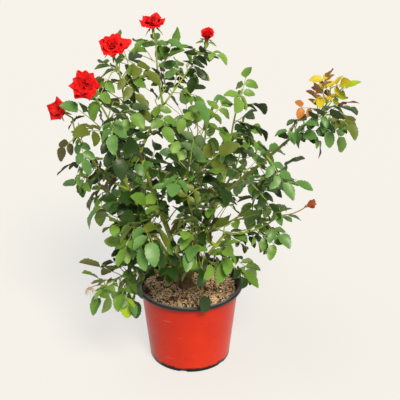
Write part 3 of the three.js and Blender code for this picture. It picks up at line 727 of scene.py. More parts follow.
growth = {
    "barkStep": 7,  # between the points that stand for a limb when room is looked for
    "spineStep": 8,
    "firstLeaf": 0.14,  # of the way along a stem
    "lastLeaf": 0.96,
    "belowFlower": 0.86,
    "leafLift": 0.75,  # of a leaf along its stem
    "leafRise": 0.15,
    "twigLift": 0.9,
    "finerLift": 0.7,
    "finerRise": 0.2,
    "sink": 2.5,  # how far the end leaflet's root lies back inside the stalk
    "terminal": 1.12,
    "width": 0.57,
    "widest": 0.46,
    "pairTurn": 1.15,  # of a side leaflet off the stalk's line
    "clearance": 2.4,
    "flowerRoom": 5,
    "overRim": 4,
    "overBed": 5,
    "insideWall": 6,
    "overFloor": 20,
    "spaceMargin": 1.6,
    "apart": 6.5,
    "finerApart": 4.2,
    "finerLoose": 16,  # how far finer leaves may stray into the next stem's space
    "leafShifts": (0, 0.7, -0.7, 1.5, -1.5, 2.4),  # turns round the stem that a leaf tries in order
    "twigShifts": (0, 0.8, -0.8, 1.6, -1.6, 2.6),
    "openHalf": 100,  # half the width of the bed that is left in sight
    "openFrom": 26,  # how far forward of the pot's middle it starts
    "openSlope": 0.6,
    "bloomRoom": 1.45,  # of a bloom's reach, kept free of leaves
    "leftEnd": -276,
    "gapShare": 0.45,  # of a leaflet, which is dropped where more than this lies in a gap
}


def startOn(on, at):
    if on is None:
        return np.array([*crown["place"], at], float)
    curve = paths[on][0]
    return pointOn(curve, at) + (tangentOn(curve, 1) * gap if at == 1 else 0)


paths = {}  # each limb's and stem's bowed line and radii
for name, row in (limbRows | stemRows).items():
    on, at, end, bow, radii = row[:5]
    paths[name] = (bowed(startOn(on, at), np.array(end, float), bow), radii)


# Points down the middle of some paths, no further apart than `step`, with their radii and names.
def cloudAlong(names, step):
    points, radii, owner = [], [], []
    for name in names:
        curve, ends = paths[name]
        t = np.linspace(0, 1, math.ceil(lengthOf(curve) / step) + 1)
        points.append(pointOn(curve, t))
        radii.append(blend(ends, t))
        owner += [name] * len(t)
    return np.concatenate(points), np.concatenate(radii), np.array(owner)


barkPoints, barkRadii, _ = cloudAlong(limbRows, growth["barkStep"])
spinePoints, _, spineOwner = cloudAlong(stemRows, growth["spineStep"])
roomCentres = np.array([seat + face * reach * 0.35 for stem, seat, face, reach in flowers.values()])
roomRadii = np.array([reach for stem, seat, face, reach in flowers.values()], float)


# Which points a leaf of this stem may fill: nearer its own stem than another's, by `loose` at most
# past the middle, and clear of bark, flowers, pot and soil.
def isFree(points, stem, loose):
    reach = np.linalg.norm(points[:, None] - spinePoints, axis=2)
    mine = spineOwner == stem
    other = reach[:, ~mine].min(1)
    own = reach[:, mine].min(1) if mine.any() else other
    free = own + 2 * growth["spaceMargin"] <= other + loose
    free &= (np.linalg.norm(points[:, None] - barkPoints, axis=2) - barkRadii).min(1) >= growth["clearance"]
    toRoom = np.linalg.norm(points[:, None] - roomCentres, axis=2)
    free &= (toRoom - roomRadii).min(1) >= growth["flowerRoom"]
    x, y, z = points.T
    out = np.hypot(x, y)
    over = growth["overRim"]
    inside = (out < linerIn(z) - growth["insideWall"]) & (z > mix["middle"] + growth["overBed"])
    outside = (out > pot["rimRadius"] + over) & (z > growth["overFloor"])
    return free & ((z > pot["height"] + over) | inside | outside)


def hasRoom(points, stem, taken, rule):
    apart, loose = rule
    clear = isFree(points, stem, loose)
    near = taken[((taken > points.min(0) - apart) & (taken < points.max(0) + apart)).all(1)]
    if len(near):
        clear &= np.linalg.norm(points[:, None] - near, axis=2).min(1) > apart
    return clear


# A leaf of one, three or five leaflets: pairs along its stalk, each leaflet turned off the stalk's
# line and hanging by `droop`, and one at its end.
def compoundLeaf(base, direction, length, pairs, roll, droop):
    side = turned(across(direction), direction, np.float64(roll))
    face = np.cross(side, direction)
    stalk = length * (0.5 + 0.5 * pairs)
    off = growth["pairTurn"]
    rows = []
    for pair in range(pairs):
        share = 0.58 if pairs == 1 else 0.37 + 0.34 * pair
        size = 0.86 if pairs == 1 else 0.74 + 0.14 * pair
        rows += [(share, off, size), (share + 0.03, -off, size)]
    rows.append((1 - growth["sink"] / stalk, 0, growth["terminal"]))
    share, turn, size = np.array(rows).T
    along = unit(turned(direction[None], face[None], turn) - droop * up)
    wide = unit(np.cross(along, face))
    leaf = {"base": base, "end": base + direction * stalk, "share": share, "along": along}
    return leaf | {"wide": wide, "normal": np.cross(wide, along), "length": length * size}


# Points over each leaflet of a leaf, shape (leaflets, 13, 3): five across-lines of its kite.
def leafSamples(leaf):
    spots = [(x, y) for x in (0.2, 0.4, 0.6, 0.8) for y in (-1, 0, 1)] + [(1, 0)]
    x, y = np.array(spots, float).T
    widest = growth["widest"]
    half = growth["width"] * 0.5 * np.where(x < widest, x / widest, (1 - x) / (1 - widest))
    root = leaf["base"] + (leaf["end"] - leaf["base"]) * leaf["share"][:, None]
    size = leaf["length"][:, None, None]
    reach = leaf["along"][:, None] * x[:, None] + leaf["wide"][:, None] * (y * half)[:, None]
    return root[:, None] + reach * size


def outward(tangent, turn, lift):
    return unit(turned(across(tangent), tangent, np.float64(turn)) + tangent * lift)


# Keeps only some leaflets of a leaf.
def thinned(leaf, keep):
    return leaf | {key: leaf[key][keep] for key in ("share", "along", "wide", "normal", "length")}


# Tries a leaf at a few turns round its stem and keeps the one with the most leaflets in free space.
def tryLeaf(base, tangent, turn, drawn, length, stem, taken, rule):
    size, roll, pairs, droop = drawn
    near = taken[np.abs(taken - base).max(1) < 150]
    best = None
    for shift in growth["leafShifts"]:
        way = outward(tangent, turn + shift, growth["leafLift"])
        direction = unit(way + up * (growth["leafRise"] - droop))
        leaf = compoundLeaf(base, direction, length * size, pairs, roll, droop * 0.5)
        ends = np.stack([(base + leaf["end"]) / 2, leaf["end"]])
        if not hasRoom(ends, stem, near, rule).all():
            continue
        count = len(leaf["length"])
        clear = hasRoom(leafSamples(leaf).reshape(-1, 3), stem, near, rule).reshape(count, -1).all(1)
        if clear.any() and (best is None or clear.sum() > len(best["length"])):
            best = thinned(leaf, clear)
        if clear.all():
            break
    return best


def drawLeaf(draw, hang):
    size = 0.85 + 0.3 * draw()
    roll = (draw() - 0.5) * 2
    pairs = 1 if draw() < 0.35 else 2
    droop = hang * (0.5 + draw())
    return (size, roll, pairs, droop), (draw() - 0.5) * 0.7


# What a leaf fills: its samples, and points along its stalk.
def filledBy(leaf):
    stalk = [leaf["base"] + (leaf["end"] - leaf["base"]) * share for share in (0.4, 0.7, 1)]
    return np.concatenate([leafSamples(leaf).reshape(-1, 3), np.array(stalk)])


# The source's own plan of a stem: leaves round it by the golden turn, then side twigs with two each.
def growStem(name, sprays):
    nodes, twigs, twigLength, length, hang, seed = stemRows[name][5:]
    curve, radii = paths[name]
    draw = randomRun(seed)
    taken = [spinePoints[spineOwner == name]]
    rule = (growth["apart"], 0)
    turn = draw() * 2 * math.pi

    def leafAt(path, t, turn):
        drawn, jitter = drawLeaf(draw, hang)
        spots = np.concatenate(taken)
        leaf = tryLeaf(pointOn(path, t), tangentOn(path, t), turn + jitter, drawn, length, name, spots, rule)
        if leaf:
            sprays["leaves"].append(leaf | {"stem": name})
            taken.append(filledBy(leaf))

    first = growth["firstLeaf"]
    hasFlower = name in [row[0] for row in flowers.values()]
    last = growth["belowFlower" if hasFlower else "lastLeaf"]
    for i in range(nodes):
        turn += goldenTurn
        leafAt(curve, first + (last - first) * i / (nodes - 1), turn)
    for i in range(twigs):
        t = 0.2 + 0.5 * (i + draw()) / twigs
        reach = twigLength * (0.8 + 0.4 * draw())
        turn += goldenTurn
        base = pointOn(curve, t)
        for shift in growth["twigShifts"]:
            end = base + outward(tangentOn(curve, t), turn + shift, growth["twigLift"]) * reach
            twig = bowed(base, end, up * reach * 0.06)
            line = pointOn(twig, [0.35, 0.6, 0.8, 1])
            if not hasRoom(line, name, np.concatenate(taken), rule).all():
                continue
            taken.append(line)
            sprays["twigs"].append((twig, (radii[1] * 0.95, radii[1] * 0.7), name))
            for s in (0.5, 1):
                turn += goldenTurn
                leafAt(twig, s, turn)
            break
    sprays["taken"].append(np.concatenate(taken))


# Finer twigs on a stem or limb, by the same rule with less room to keep: how many, from and to where
# along it, their length, the leaflets' length and how far the leaves hang.
finerRows = {
    "foliage_top": (4, 0.1, 0.85, 15, 40, 0.4),
    "foliage_top_right": (4, 0.1, 0.75, 11, 38, 0.6),
    "foliage_upper_left": (6, 0.2, 0.95, 24, 42, 0.9),
    "foliage_left_front": (4, 0.05, 0.8, 28, 40, 0.7),
    "foliage_outer_left": (1, 0.1, 0.5, 16, 34, 0.8),
    "foliage_far_left": (1, 0, 0.4, 16, 34, 0.5),
    "foliage_centre": (4, 0, 0.6, 24, 40, 0.5),
    "foliage_centre_right": (4, 0, 0.7, 20, 36, 0.8),
    "foliage_arch": (2, 0.2, 0.9, 14, 36, 0.9),
    "foliage_arch_tip": (3, 0.2, 0.7, 18, 32, 0.5),
    "foliage_right_spray": (2, 0.3, 0.9, 16, 38, 0.4),
    "foliage_low_right": (2, 0.2, 0.8, 16, 34, 0.3),
    "foliage_low_left": (3, 0.2, 0.9, 16, 36, 0.4),
    "foliage_front": (9, 0, 1, 34, 42, 0.6),
    "foliage_front_right": (3, 0, 0.8, 18, 38, 0.4),
    "foliage_front_left": (8, 0, 1, 34, 42, 0.6),
    "foliage_middle": (13, 0, 1, 38, 42, 0.55),
    "foliage_low_middle": (5, 0, 1, 26, 40, 0.5),
    "foliage_back": (5, 0, 1, 34, 42, 0.6),
    "foliage_back_left": (4, 0, 0.9, 34, 42, 0.6),
    "foliage_back_right": (3, 0, 0.7, 28, 40, 0.6),
    "foliage_right_back": (2, 0, 0.6, 20, 38, 0.4),
    "cane_left": (7, 0.4, 0.98, 36, 40, 0.6),
    "cane_right": (6, 0.35, 0.9, 36, 40, 0.6),
    "cane_centre": (5, 0.4, 1, 36, 40, 0.6),
    "cane_left_front": (7, 0.4, 0.98, 34, 40, 0.6),
    "cane_back_left": (2, 0.5, 1, 34, 40, 0.6),
    "cane_back_right": (3, 0.5, 1, 34, 40, 0.6),
    "cane_front": (4, 0.4, 1, 28, 40, 0.6),
    "cane_low_right": (3, 0.4, 1, 28, 40, 0.6),
    "cane_low_left": (3, 0.6, 1, 24, 38, 0.4),
    "cane_far_left": (1, 0.5, 0.8, 20, 38, 0.5),
    "bough_top": (1, 0.1, 0.6, 20, 38, 0.5),
    "bough_upper_left": (3, 0.2, 1, 22, 40, 0.8),
    "bough_arch": (4, 0.68, 0.97, 13, 40, 1.0),
    "bough_outer_left": (3, 0.2, 1, 24, 40, 0.7),
    "bough_centre_right": (4, 0.2, 1, 28, 40, 0.6),
    "bough_back": (3, 0.2, 1, 32, 40, 0.6),
    "bough_right_back": (2, 0.2, 1, 30, 40, 0.6),
    "bough_front_right": (2, 0.2, 1, 24, 40, 0.6),
    "bough_front_left": (4, 0.2, 1, 28, 40, 0.6),
}


def growFiner(name, row, sprays, taken, seed):
    count, first, last, reach, length, hang = row
    curve, radii = paths[name]
    rng = np.random.RandomState(seed)
    rule = (growth["finerApart"], growth["finerLoose"])
    turn = rng.uniform(0, 2 * math.pi)
    for i in range(count):
        t = first + (last - first) * (i + rng.uniform()) / count
        turn += goldenTurn
        base, tangent = pointOn(curve, t), tangentOn(curve, t)
        long = reach * rng.uniform(0.6, 1.5)
        near = taken[0][np.abs(taken[0] - base).max(1) < 200]
        owner = name
        if name in limbRows:
            owner = spineOwner[np.linalg.norm(spinePoints - base, axis=1).argmin()]
        for shift in growth["twigShifts"]:
            way = unit(outward(tangent, turn + shift, growth["finerLift"]) + up * growth["finerRise"])
            twig = bowed(base, base + way * long, up * long * 0.07)
            line = pointOn(twig, [0.5, 0.75, 1])
            if not hasRoom(line, owner, near, (3, 60)).all():
                continue
            thick = min(1.5, radii[1] * 0.8)
            sprays["twigs"].append((twig, (thick, thick * 0.65), owner))
            fresh = [line]
            for s in (0.4, 0.72, 1) if long > 34 else (0.55, 1):
                turn += goldenTurn
                drawn, jitter = drawLeaf(rng.uniform, hang)
                around = np.concatenate([near, *fresh])
                place, way = pointOn(twig, s), tangentOn(twig, s)
                leaf = tryLeaf(place, way, turn + jitter, drawn, length, owner, around, rule)
                if leaf:
                    sprays["leaves"].append(leaf | {"stem": owner})
                    fresh.append(filledBy(leaf))
            taken[0] = np.concatenate([taken[0], *fresh])
            break


# Leaves don't hang low over the front of the bed: there they end above a slope that rises forwards.
def hidesBed(leaf):
    x, y, z = leafSamples(leaf).reshape(-1, 3).T
    low = z < mix["middle"] + (-y - growth["openFrom"]) * growth["openSlope"]
    return bool((low & (np.abs(x) < growth["openHalf"]) & (z > mix["edge"] - 20)).any())


# Gaps between the leaf masses where the plant can be seen through: across, height and half width in the
# upright plane through the pot's middle. Each runs as a line of sight from the camera.
gapRows = [
    (-27, 556, 20),
    (12, 526, 21),
    (-78, 665, 20),
    (-91, 598, 17),
    (-203, 267, 34),
    (-166, 236, 17),
    (-205, 224, 15),
    (-243, 371, 25),
    (-283, 522, 27),
    (-196, 663, 19),
    (63, 341, 17),
    (203, 229, 22),
    (152, 233, 14),
    (134, 148, 24),
    (176, 558, 28),
    (252, 657, 18),
    (45, 641, 14),
    (126, 443, 16),
]


# Whether points lie in a gap, once carried along their line of sight to that plane.
def inGap(points):
    x, y, z = points.reshape(-1, 3).T
    eye = studio["cameraPlace"]
    nearer = eye[1] / (eye[1] - y)
    x, z = eye[0] + (x - eye[0]) * nearer, eye[2] + (z - eye[2]) * nearer
    return np.any([np.hypot(x - over, z - height) < half for over, height, half in gapRows], 0)


# A leaf without the leaflets that stand mostly in a gap, its stalk ending at the last one left.
def outOfGaps(leaf):
    inside = inGap(leafSamples(leaf)).reshape(len(leaf["length"]), -1)
    leaf = thinned(leaf, inside.mean(1) < growth["gapShare"])
    last = min(1, leaf["share"].max(initial=0) + 0.04)
    return leaf | {"end": leaf["base"] + (leaf["end"] - leaf["base"]) * last, "share": leaf["share"] / last}


# Whether a leaf reaches into an open flower or grows past the plant's own width on the left.
def crowdsBloom(leaf):
    points = leafSamples(leaf).reshape(-1, 3)
    for stem, seat, face, reach in flowers.values():
        away = np.linalg.norm(points - (seat + face * reach * 0.5), axis=1)
        if (away < reach * growth["bloomRoom"]).any():
            return True
    return bool((points[:, 0] < growth["leftEnd"]).any())


# Well seen leaves, set one by one: foot, way, length of the leaflets, pairs, roll, droop and colour.
setLeaves = [
    ((84, -40, 236), (0.78, -0.3, -0.5), 52, 0, 0, 0.1, "mid"),
    ((26, -101, 221), (0.15, -0.45, -0.88), 40, 0, 0, 0.2, "deep"),
    ((-4, 8, 600), (0.62, -0.5, -0.6), 54, 0, 0, 0, "cool"),
    ((150, -76, 500), (0.5, -0.45, -0.7), 42, 2, 0.2, 0.1, "cool"),
    ((118, -78, 446), (0.6, -0.5, -0.55), 40, 2, -0.2, 0.1, "deep"),
    ((-62, 18, 700), (0.85, -0.4, 0), 40, 0, 0, 0.1, "cool"),
    ((-66, 16, 702), (-0.8, -0.35, -0.1), 36, 0, 0, 0.2, "mid"),
    ((-146, -38, 655), (-0.4, -0.6, -0.65), 42, 2, 0, 0.2, "mid"),
    ((-138, -36, 662), (0.6, -0.5, -0.6), 42, 2, 0, 0.3, "olive"),
    ((-172, -100, 232), (-0.5, -0.45, 0.6), 34, 1, 0, 0, "mid"),
    ((-172, -104, 216), (-0.35, -0.4, -0.75), 40, 0, 0, 0, "cool"),
    ((-130, -105, 224), (0.1, -0.45, -0.8), 46, 0, 0, 0, "lime"),
    ((-112, -108, 212), (0.1, -0.4, -0.85), 38, 0, 0, 0, "deep"),
    ((-128, -104, 240), (0.5, -0.6, -0.2), 38, 0, 0, 0, "light"),
    ((28, 66, 655), (-0.65, -0.45, 0.5), 34, 1, 0, 0, "mid"),
    ((34, 66, 664), (0.6, -0.5, -0.1), 30, 1, 0, 0.1, "light"),
    ((24, 64, 640), (-0.3, -0.55, -0.6), 36, 1, 0, 0, "deep"),
    ((-66, 0, 584), (0.3, -0.6, -0.6), 40, 2, 0, 0, "mid"),
    ((-118, -30, 680), (0.75, -0.4, -0.45), 44, 1, 0, 0.1, "olive"),
]


# Adds each of them to the nearest stem, on a twig where it stands off it.
def addSetLeaves(sprays):
    for foot, way, length, pairs, roll, droop, shade in setLeaves:
        foot = np.array(foot, float)
        away = np.linalg.norm(spinePoints - foot, axis=1)
        nearest = away.argmin()
        owner = spineOwner[nearest]
        if away[nearest] > 3:
            sprays["twigs"].append((bowed(spinePoints[nearest], foot, (0, 0, 2)), (1.2, 1.0), owner))
        leaf = compoundLeaf(foot, unit(np.array(way, float)), length, pairs, roll, droop)
        sprays["leaves"].append(leaf | {"stem": owner, "tone": shade})


def countLeaflets(sprays):
    return sum(len(leaf["length"]) for leaf in sprays["leaves"])


# The whole plant's leaves and twigs: the source's own, finer ones among them, less what stands in
# the open parts, and the leaves set one by one.
def growPlant():
    sprays = {"leaves": [], "twigs": [], "taken": []}
    for name in stemRows:
        growStem(name, sprays)
    print("source's leaves:", countLeaflets(sprays), "leaflets")
    filled = [np.concatenate(sprays["taken"])]
    for seed, (name, row) in enumerate(finerRows.items()):
        growFiner(name, row, sprays, filled, 900 + seed)
    leaves = [outOfGaps(leaf) for leaf in sprays["leaves"] if not hidesBed(leaf) and not crowdsBloom(leaf)]
    sprays["leaves"] = [leaf for leaf in leaves if len(leaf["length"])]
    sprays["twigs"] = [row for row in sprays["twigs"] if not inGap(pointOn(row[0], [0.7, 1])).all()]
    addSetLeaves(sprays)
    print("with finer twigs:", countLeaflets(sprays), "leaflets")
    return sprays


sprays = growPlant()


# Leaf colours, the side that shows from above and the paler side under it, and each stem's mix of them.
leafTones = {
    "deep": ("#1f3a0e", "#3f4f26", 0.42),
    "mid": ("#5a802c", "#5a6e32", 0.44),
    "cool": ("#517b3c", "#5b7548", 0.42),
    "light": ("#6a8e38", "#75904a", 0.46),
    "olive": ("#576520", "#66682f", 0.46),
    "bronze": ("#46451c", "#56542e", 0.48),
    "lime": ("#92ae18", "#99a644", 0.5),
    "gold": ("#b4a618", "#aa9c3c", 0.5),
    "amber": ("#a8661e", "#a47640", 0.5),
    "rust": ("#86341e", "#925038", 0.5),
}
# How much of each colour a region's leaves take, and the stems that lie in it. The rest take the core's.
mixes = {
    "upper": {"deep": 2, "mid": 3, "cool": 4, "light": 1, "olive": 0.5},
    "left": {"deep": 3, "mid": 3, "cool": 2.5, "light": 0.6, "olive": 1.6, "bronze": 0.5},
    "core": {"deep": 3, "mid": 3.5, "cool": 2.5, "light": 0.7, "olive": 1.6, "bronze": 0.3},
    "low": {"deep": 2, "mid": 3.4, "cool": 1, "light": 2.2, "olive": 1.4, "lime": 0.15},
    "right": {"deep": 3, "mid": 2, "cool": 3.5, "light": 1, "olive": 0.8},
    "young": {"lime": 3.5, "gold": 4, "amber": 2, "rust": 0.8, "light": 0.8},
}
mixStems = {
    "upper": ["foliage_top", "foliage_top_right", "foliage_centre"],
    "left": ["foliage_upper_left", "foliage_left_front", "foliage_outer_left", "foliage_far_left"],
    "low": ["foliage_low_left", "foliage_low_middle", "foliage_front_right"],
    "right": ["foliage_centre_right", "foliage_arch", "foliage_right_spray", "foliage_low_right"],
    "young": ["foliage_arch_tip"],
}
stemMix = {stem: name for name, stems in mixStems.items() for stem in stems}

leaflet = {
    "scale": 0.9,  # of the source's leaflets, which stand for more than one
    "breadth": 0.6,
    "foot": (0.05, 0.045),  # where the first tooth starts, and the half width there
    "teeth": 6,
    "toothTip": 0.76,  # of the way along a tooth
    "toothOut": 1.04,
    "toothIn": 0.93,
    "thick": 0.018,
    "bend": (0.16, 0.12),  # mean and spread
    "fold": (0.2, 0.62),
    "wave": 0.035,
    "seed": 71,
}


# Distances along a leaflet, and how far its edge stands out there: a short foot, then teeth that
# lean forward, then the point.
def leafletRows(settings):
    foot = settings["foot"][0]
    pitch = 0.93 / settings["teeth"]
    starts = foot + pitch * np.arange(settings["teeth"])
    places = np.stack([starts + pitch * settings["toothTip"], starts + pitch], -1).ravel()[:-1]
    edge = np.tile([settings["toothOut"], settings["toothIn"]], settings["teeth"])[:-1]
    return np.concatenate([[0, foot], places, [1]]), np.concatenate([[1, 1], edge, [1]])


# Leaflets as thin blades on a grid of places s along and v across. Half width s^0.6 (1-s)^0.7, edge
# lifted by the fold and a wave, the whole bent down by the square of s.
def leafletSkins(root, along, wide, normal, length, settings):
    count = len(root)
    rng = np.random.RandomState(settings["seed"])

    def one(low, high):
        return rng.uniform(low, high, (count, 1, 1))

    rows, edge = leafletRows(settings)
    profile = rows**0.6 * (1 - rows) ** 0.7
    profile /= profile.max()
    profile[:2] = 0, settings["foot"][1]
    v = np.array([-1.0, 0.0, 1.0])
    s, profile, edge = rows[None, :, None], profile[None, :, None], edge[None, :, None]
    side = v * profile * edge * settings["breadth"] / 2 * one(0.88, 1.12)
    bend = rng.normal(*settings["bend"], (count, 1, 1))
    fold = one(*settings["fold"])
    wave = np.sin(2 * math.pi * (s * one(1, 2) + one(0, 1) + v * 0.2)) * np.abs(v) * profile
    rise = fold * np.abs(side) - bend * s**2 + wave * settings["wave"]
    reach = s - (bend * s) ** 2 * s * 0.5
    frames = [axis[:, None, None] * length[:, None, None, None] for axis in (along, wide, normal)]

    def place(height):
        parts = zip((reach, side, height), frames)
        return root[:, None, None] + sum(part[..., None] * axis for part, axis in parts)

    thick = settings["thick"] * profile * (1 - np.abs(v))
    return bladeSkins(place(rise), place(rise - thick), along=rows)


# The vein pattern is a ridge along the middle and slanting ridges off it, across the blade's own map.
def leafMaterial(name, colour, roughness):
    material, shader, tree, place = patterned(name, colour, roughness, **{"Specular IOR Level": 0.42})
    blade = addNode(tree, "ShaderNodeUVMap", {}, uv_map="blade").outputs["UV"]
    parts = addNode(tree, "ShaderNodeSeparateXYZ", {"Vector": blade})
    off = mathOf(tree, "ABSOLUTE", mathOf(tree, "SUBTRACT", parts.outputs["X"], 0.5))
    slant = mathOf(tree, "MULTIPLY_ADD", off, -0.5, parts.outputs["Y"])
    veins = mathOf(tree, "PINGPONG", slant, 0.055)
    addBumps(tree, shader, (veins, 0.6, 0.0016), (noiseOf(tree, place, 130.0), 0.3, 0.0009))
    return material


# Every leaflet of some leaves as arrays: root, frame, length and the number of its tone.
def leafletArrays(leaves, rng):
    rows = {"root": [], "along": [], "wide": [], "normal": [], "length": [], "tone": []}
    for leaf in leaves:
        shades = mixes[stemMix.get(leaf["stem"], "core")]
        shares = np.array(list(shades.values()), float)
        pick = leaf.get("tone") or rng.choice(list(shades), p=shares / shares.sum())
        rows["root"].append(pointOn(leafStalk(leaf), leaf["share"]))
        for key in ("along", "wide", "normal"):
            rows[key].append(leaf[key])
        rows["length"].append(leaf["length"] * leaflet["scale"])
        rows["tone"].append(np.full(len(leaf["share"]), list(leafTones).index(pick)))
    return {key: np.concatenate(value) for key, value in rows.items()}


# A leaf's stalk arches a little over the straight line to its end.
def leafStalk(leaf):
    length = np.linalg.norm(leaf["end"] - leaf["base"])
    return bowed(leaf["base"], leaf["end"], up * length * 0.025)


leafRegions = {
    "leaves_top": ["foliage_top", "foliage_top_right", "foliage_upper_left", "foliage_centre"],
    "leaves_left": ["foliage_left_front", "foliage_outer_left", "foliage_far_left", "foliage_low_left"],
    "leaves_front": ["foliage_front", "foliage_front_left", "foliage_front_right", "foliage_low_middle",
                     "foliage_middle"],
    "leaves_right": ["foliage_arch", "foliage_right_spray", "foliage_low_right", "foliage_centre_right",
                     "foliage_right_back"],
    "leaves_back": ["foliage_back", "foliage_back_left", "foliage_back_right"],
    "leaves_young": ["foliage_arch_tip"],
}


def makeLeaves(leaves):
    rng = np.random.RandomState(leaflet["seed"])
    tops = [leafMaterial(f"leaf_{name}", row[0], row[2]) for name, row in leafTones.items()]
    unders = [leafMaterial(f"leaf_{name}_under", row[1], 0.62) for name, row in leafTones.items()]
    for region, stems in leafRegions.items():
        rows = leafletArrays([leaf for leaf in leaves if leaf["stem"] in stems], rng)
        tones = rows.pop("tone")
        skins = leafletSkins(**rows, settings=leaflet)
        slots = perFace(tones, skins) + skins["isBack"] * len(tops)
        putMesh(region, skins, tops + unders, stems, slots)


makeLeaves(sprays["leaves"])
print("leaves made")


# Green twigs: the leafy stems, their side twigs and the leaf stalks.
twigs = {
    "sides": 8,
    "rows": 12,
    "knots": (4, 0.16),  # how many along a twig, and how far they swell
    "stalkSides": 5,
    "stalkRows": 5,
    "stalk": (1.0, 0.6),
}


def greenWood(name, colours, roughness=0.45):
    material, shader, tree, place = patterned(name, colours[0], roughness)
    rows = [(0.3, colours[0]), (0.7, colours[1])]
    tree.links.new(rampOf(tree, noiseOf(tree, place, 30.0), rows), shader.inputs["Base Color"])
    addBumps(tree, shader, (noiseOf(tree, place, 420.0), 0.25, 0.0008))
    return material


# Tubes of radius x (1 + swell cos^8) along every stem and twig, and plain ones along the leaf stalks.
def makeTwigs(sprays, settings):
    lines = [paths[name] for name in stemRows] + [row[:2] for row in sprays["twigs"]]
    t = np.linspace(0, 1, settings["rows"])
    centres = np.stack([pointOn(curve, t) for curve, ends in lines])
    radii = np.stack([blend(ends, t) for curve, ends in lines])
    count, swell = settings["knots"]
    knots = 1 + swell * np.maximum(0, np.cos(t * 2 * math.pi * count)) ** 8
    stems = tubeSkins(centres, (radii * knots)[:, :, None], settings["sides"])
    t = np.linspace(0, 1, settings["stalkRows"])
    centres = np.stack([pointOn(leafStalk(leaf), t) for leaf in sprays["leaves"]])
    stalks = tubeSkins(centres, blend(settings["stalk"], t)[None, :, None], settings["stalkSides"])
    skin = joined([stems, stalks])
    slots = np.concatenate([np.arange(len(skin[kind])) >= len(stems[kind]) for kind in ("quads", "tris")])
    woods = [greenWood("green_twig", ("#6f8f34", "#8ea043")), greenWood("leaf_stalk", ("#7d9a3c", "#9a9a4a"))]
    putMesh("twigs", skin, woods, list(stemRows), slots)


makeTwigs(sprays, twigs)
print("twigs made")


# The canes: bark with ridges and leaf-scar rings, brown at the foot and green above, with prickles.
cane = {
    "sides": 20,
    "step": 3.2,
    "ringEvery": 34,
    "ringRise": 0.16,
    "ridges": 5,
    "ridge": 0.05,
    "grain": 0.04,
    "dark": {"bough_arch": 0.9, "cane_right": 0.35, "cane_back_left": 0.5, "cane_back_right": 0.5},
    "crownDark": 0.3,
    "prickleEvery": 16,
    "prickle": (3.2, 5.2),
    "seed": 5,
}


# A limb's skin: radius x (1 + rings + ridges + grain), with the rings where old leaves stood.
def limbSkin(name, settings):
    curve, ends = paths[name]
    length = lengthOf(curve)
    t = np.linspace(0, 1, int(length / settings["step"]) + 4)
    turn = ringTurns(settings["sides"])
    phase = len(name) * 0.7
    ring = np.maximum(0, np.cos(t * length / settings["ringEvery"] * 2 * math.pi + phase)) ** 14
    ridge = np.cos(turn[None] * settings["ridges"] + t[:, None] * 3 + phase)
    spots = np.stack(np.broadcast_arrays(t[:, None] * length, np.cos(turn) * 6, np.sin(turn) * 6), -1)
    swell = (1 + settings["ringRise"] * ring[:, None] + settings["ridge"] * ridge
             + settings["grain"] * lumps(spots, 11, 40 + len(name)))
    radii = blend(ends, t)[:, None] * swell
    skin = tubeSkins(pointOn(curve, t)[None], radii[None], settings["sides"])
    return skin | {"dark": np.full(len(skin["points"]), settings["dark"].get(name, 0.0))}


# The crown: the source's knobs, radius (1 + 0.12 cos(3 turn + 5 level)), with corky lumps over them.
def crownSkin(settings):
    level = np.linspace(0, 1, settings["levels"])[:, None]
    radius = np.interp(level, *np.array(settings["rows"], float).T)
    turn = ringTurns(settings["sides"])
    radius = radius * (1 + 0.12 * np.cos(3 * turn[None] + 5 * level))
    foot = np.array([*settings["place"], mix["middle"] + gap])
    x, y, z = np.broadcast_arrays(np.cos(turn) * radius, np.sin(turn) * radius,
                                  foot[2] + level * settings["height"])
    spots = np.stack([x, y, z], -1)
    swell = 1 + 0.07 * lumps(spots, 7, 3) + 0.05 * lumps(spots, 3, 4)
    grid = np.stack([x * swell + foot[0], y * swell + foot[1], z], -1)
    skin = wrappedSkins(np.concatenate([np.broadcast_to(foot, grid[:1].shape), grid])[None])
    return skin | {"dark": np.full(len(skin["points"]), cane["crownDark"])}


# Brown bark at the foot that goes over to green at a ragged height, the green darker on some limbs.
def barkMaterial():
    material, shader, tree, place = patterned("cane_bark", "#7f9a3a", 0.5)
    raised = mathOf(tree, "MULTIPLY_ADD", noiseOf(tree, place, 60.0, 4.0), 0.12, heightOf(tree, place))
    inputs = {"Value": raised, "From Min": 0.235, "From Max": 0.33}
    young = addNode(tree, "ShaderNodeMapRange", inputs).outputs["Result"]
    fresh = rampOf(tree, noiseOf(tree, place, 22.0), [(0.3, "#7e9636"), (0.55, "#9aa63e"), (0.8, "#b4b552")])
    olive = rampOf(tree, noiseOf(tree, place, 26.0), [(0.3, "#3d4a22"), (0.75, "#5d6b2c")])
    dark = addNode(tree, "ShaderNodeAttribute", {}, attribute_name="dark").outputs["Fac"]
    browns = [(0.3, "#4a3a28"), (0.6, "#6e5638"), (0.85, "#8c7350")]
    brown = rampOf(tree, noiseOf(tree, place, 90.0, 5.0), browns)
    colour = mixed(tree, young, brown, mixed(tree, dark, fresh, olive))
    tree.links.new(colour, shader.inputs["Base Color"])
    grain = noiseOf(tree, stretched(tree, place, (260.0, 260.0, 40.0)), 1.0, 4.0)
    addBumps(tree, shader, (grain, 0.45, 0.0012))
    return material


def makeCanes(settings):
    bark = barkMaterial()
    for piece, kind in (("canes", "cane"), ("boughs", "bough")):
        names = [name for name in limbRows if name.startswith(kind)]
        putMesh(piece, joined([limbSkin(name, settings) for name in names]), [bark], names)
    putMesh("crown_wood", crownSkin(crown), [bark], ["crown"])


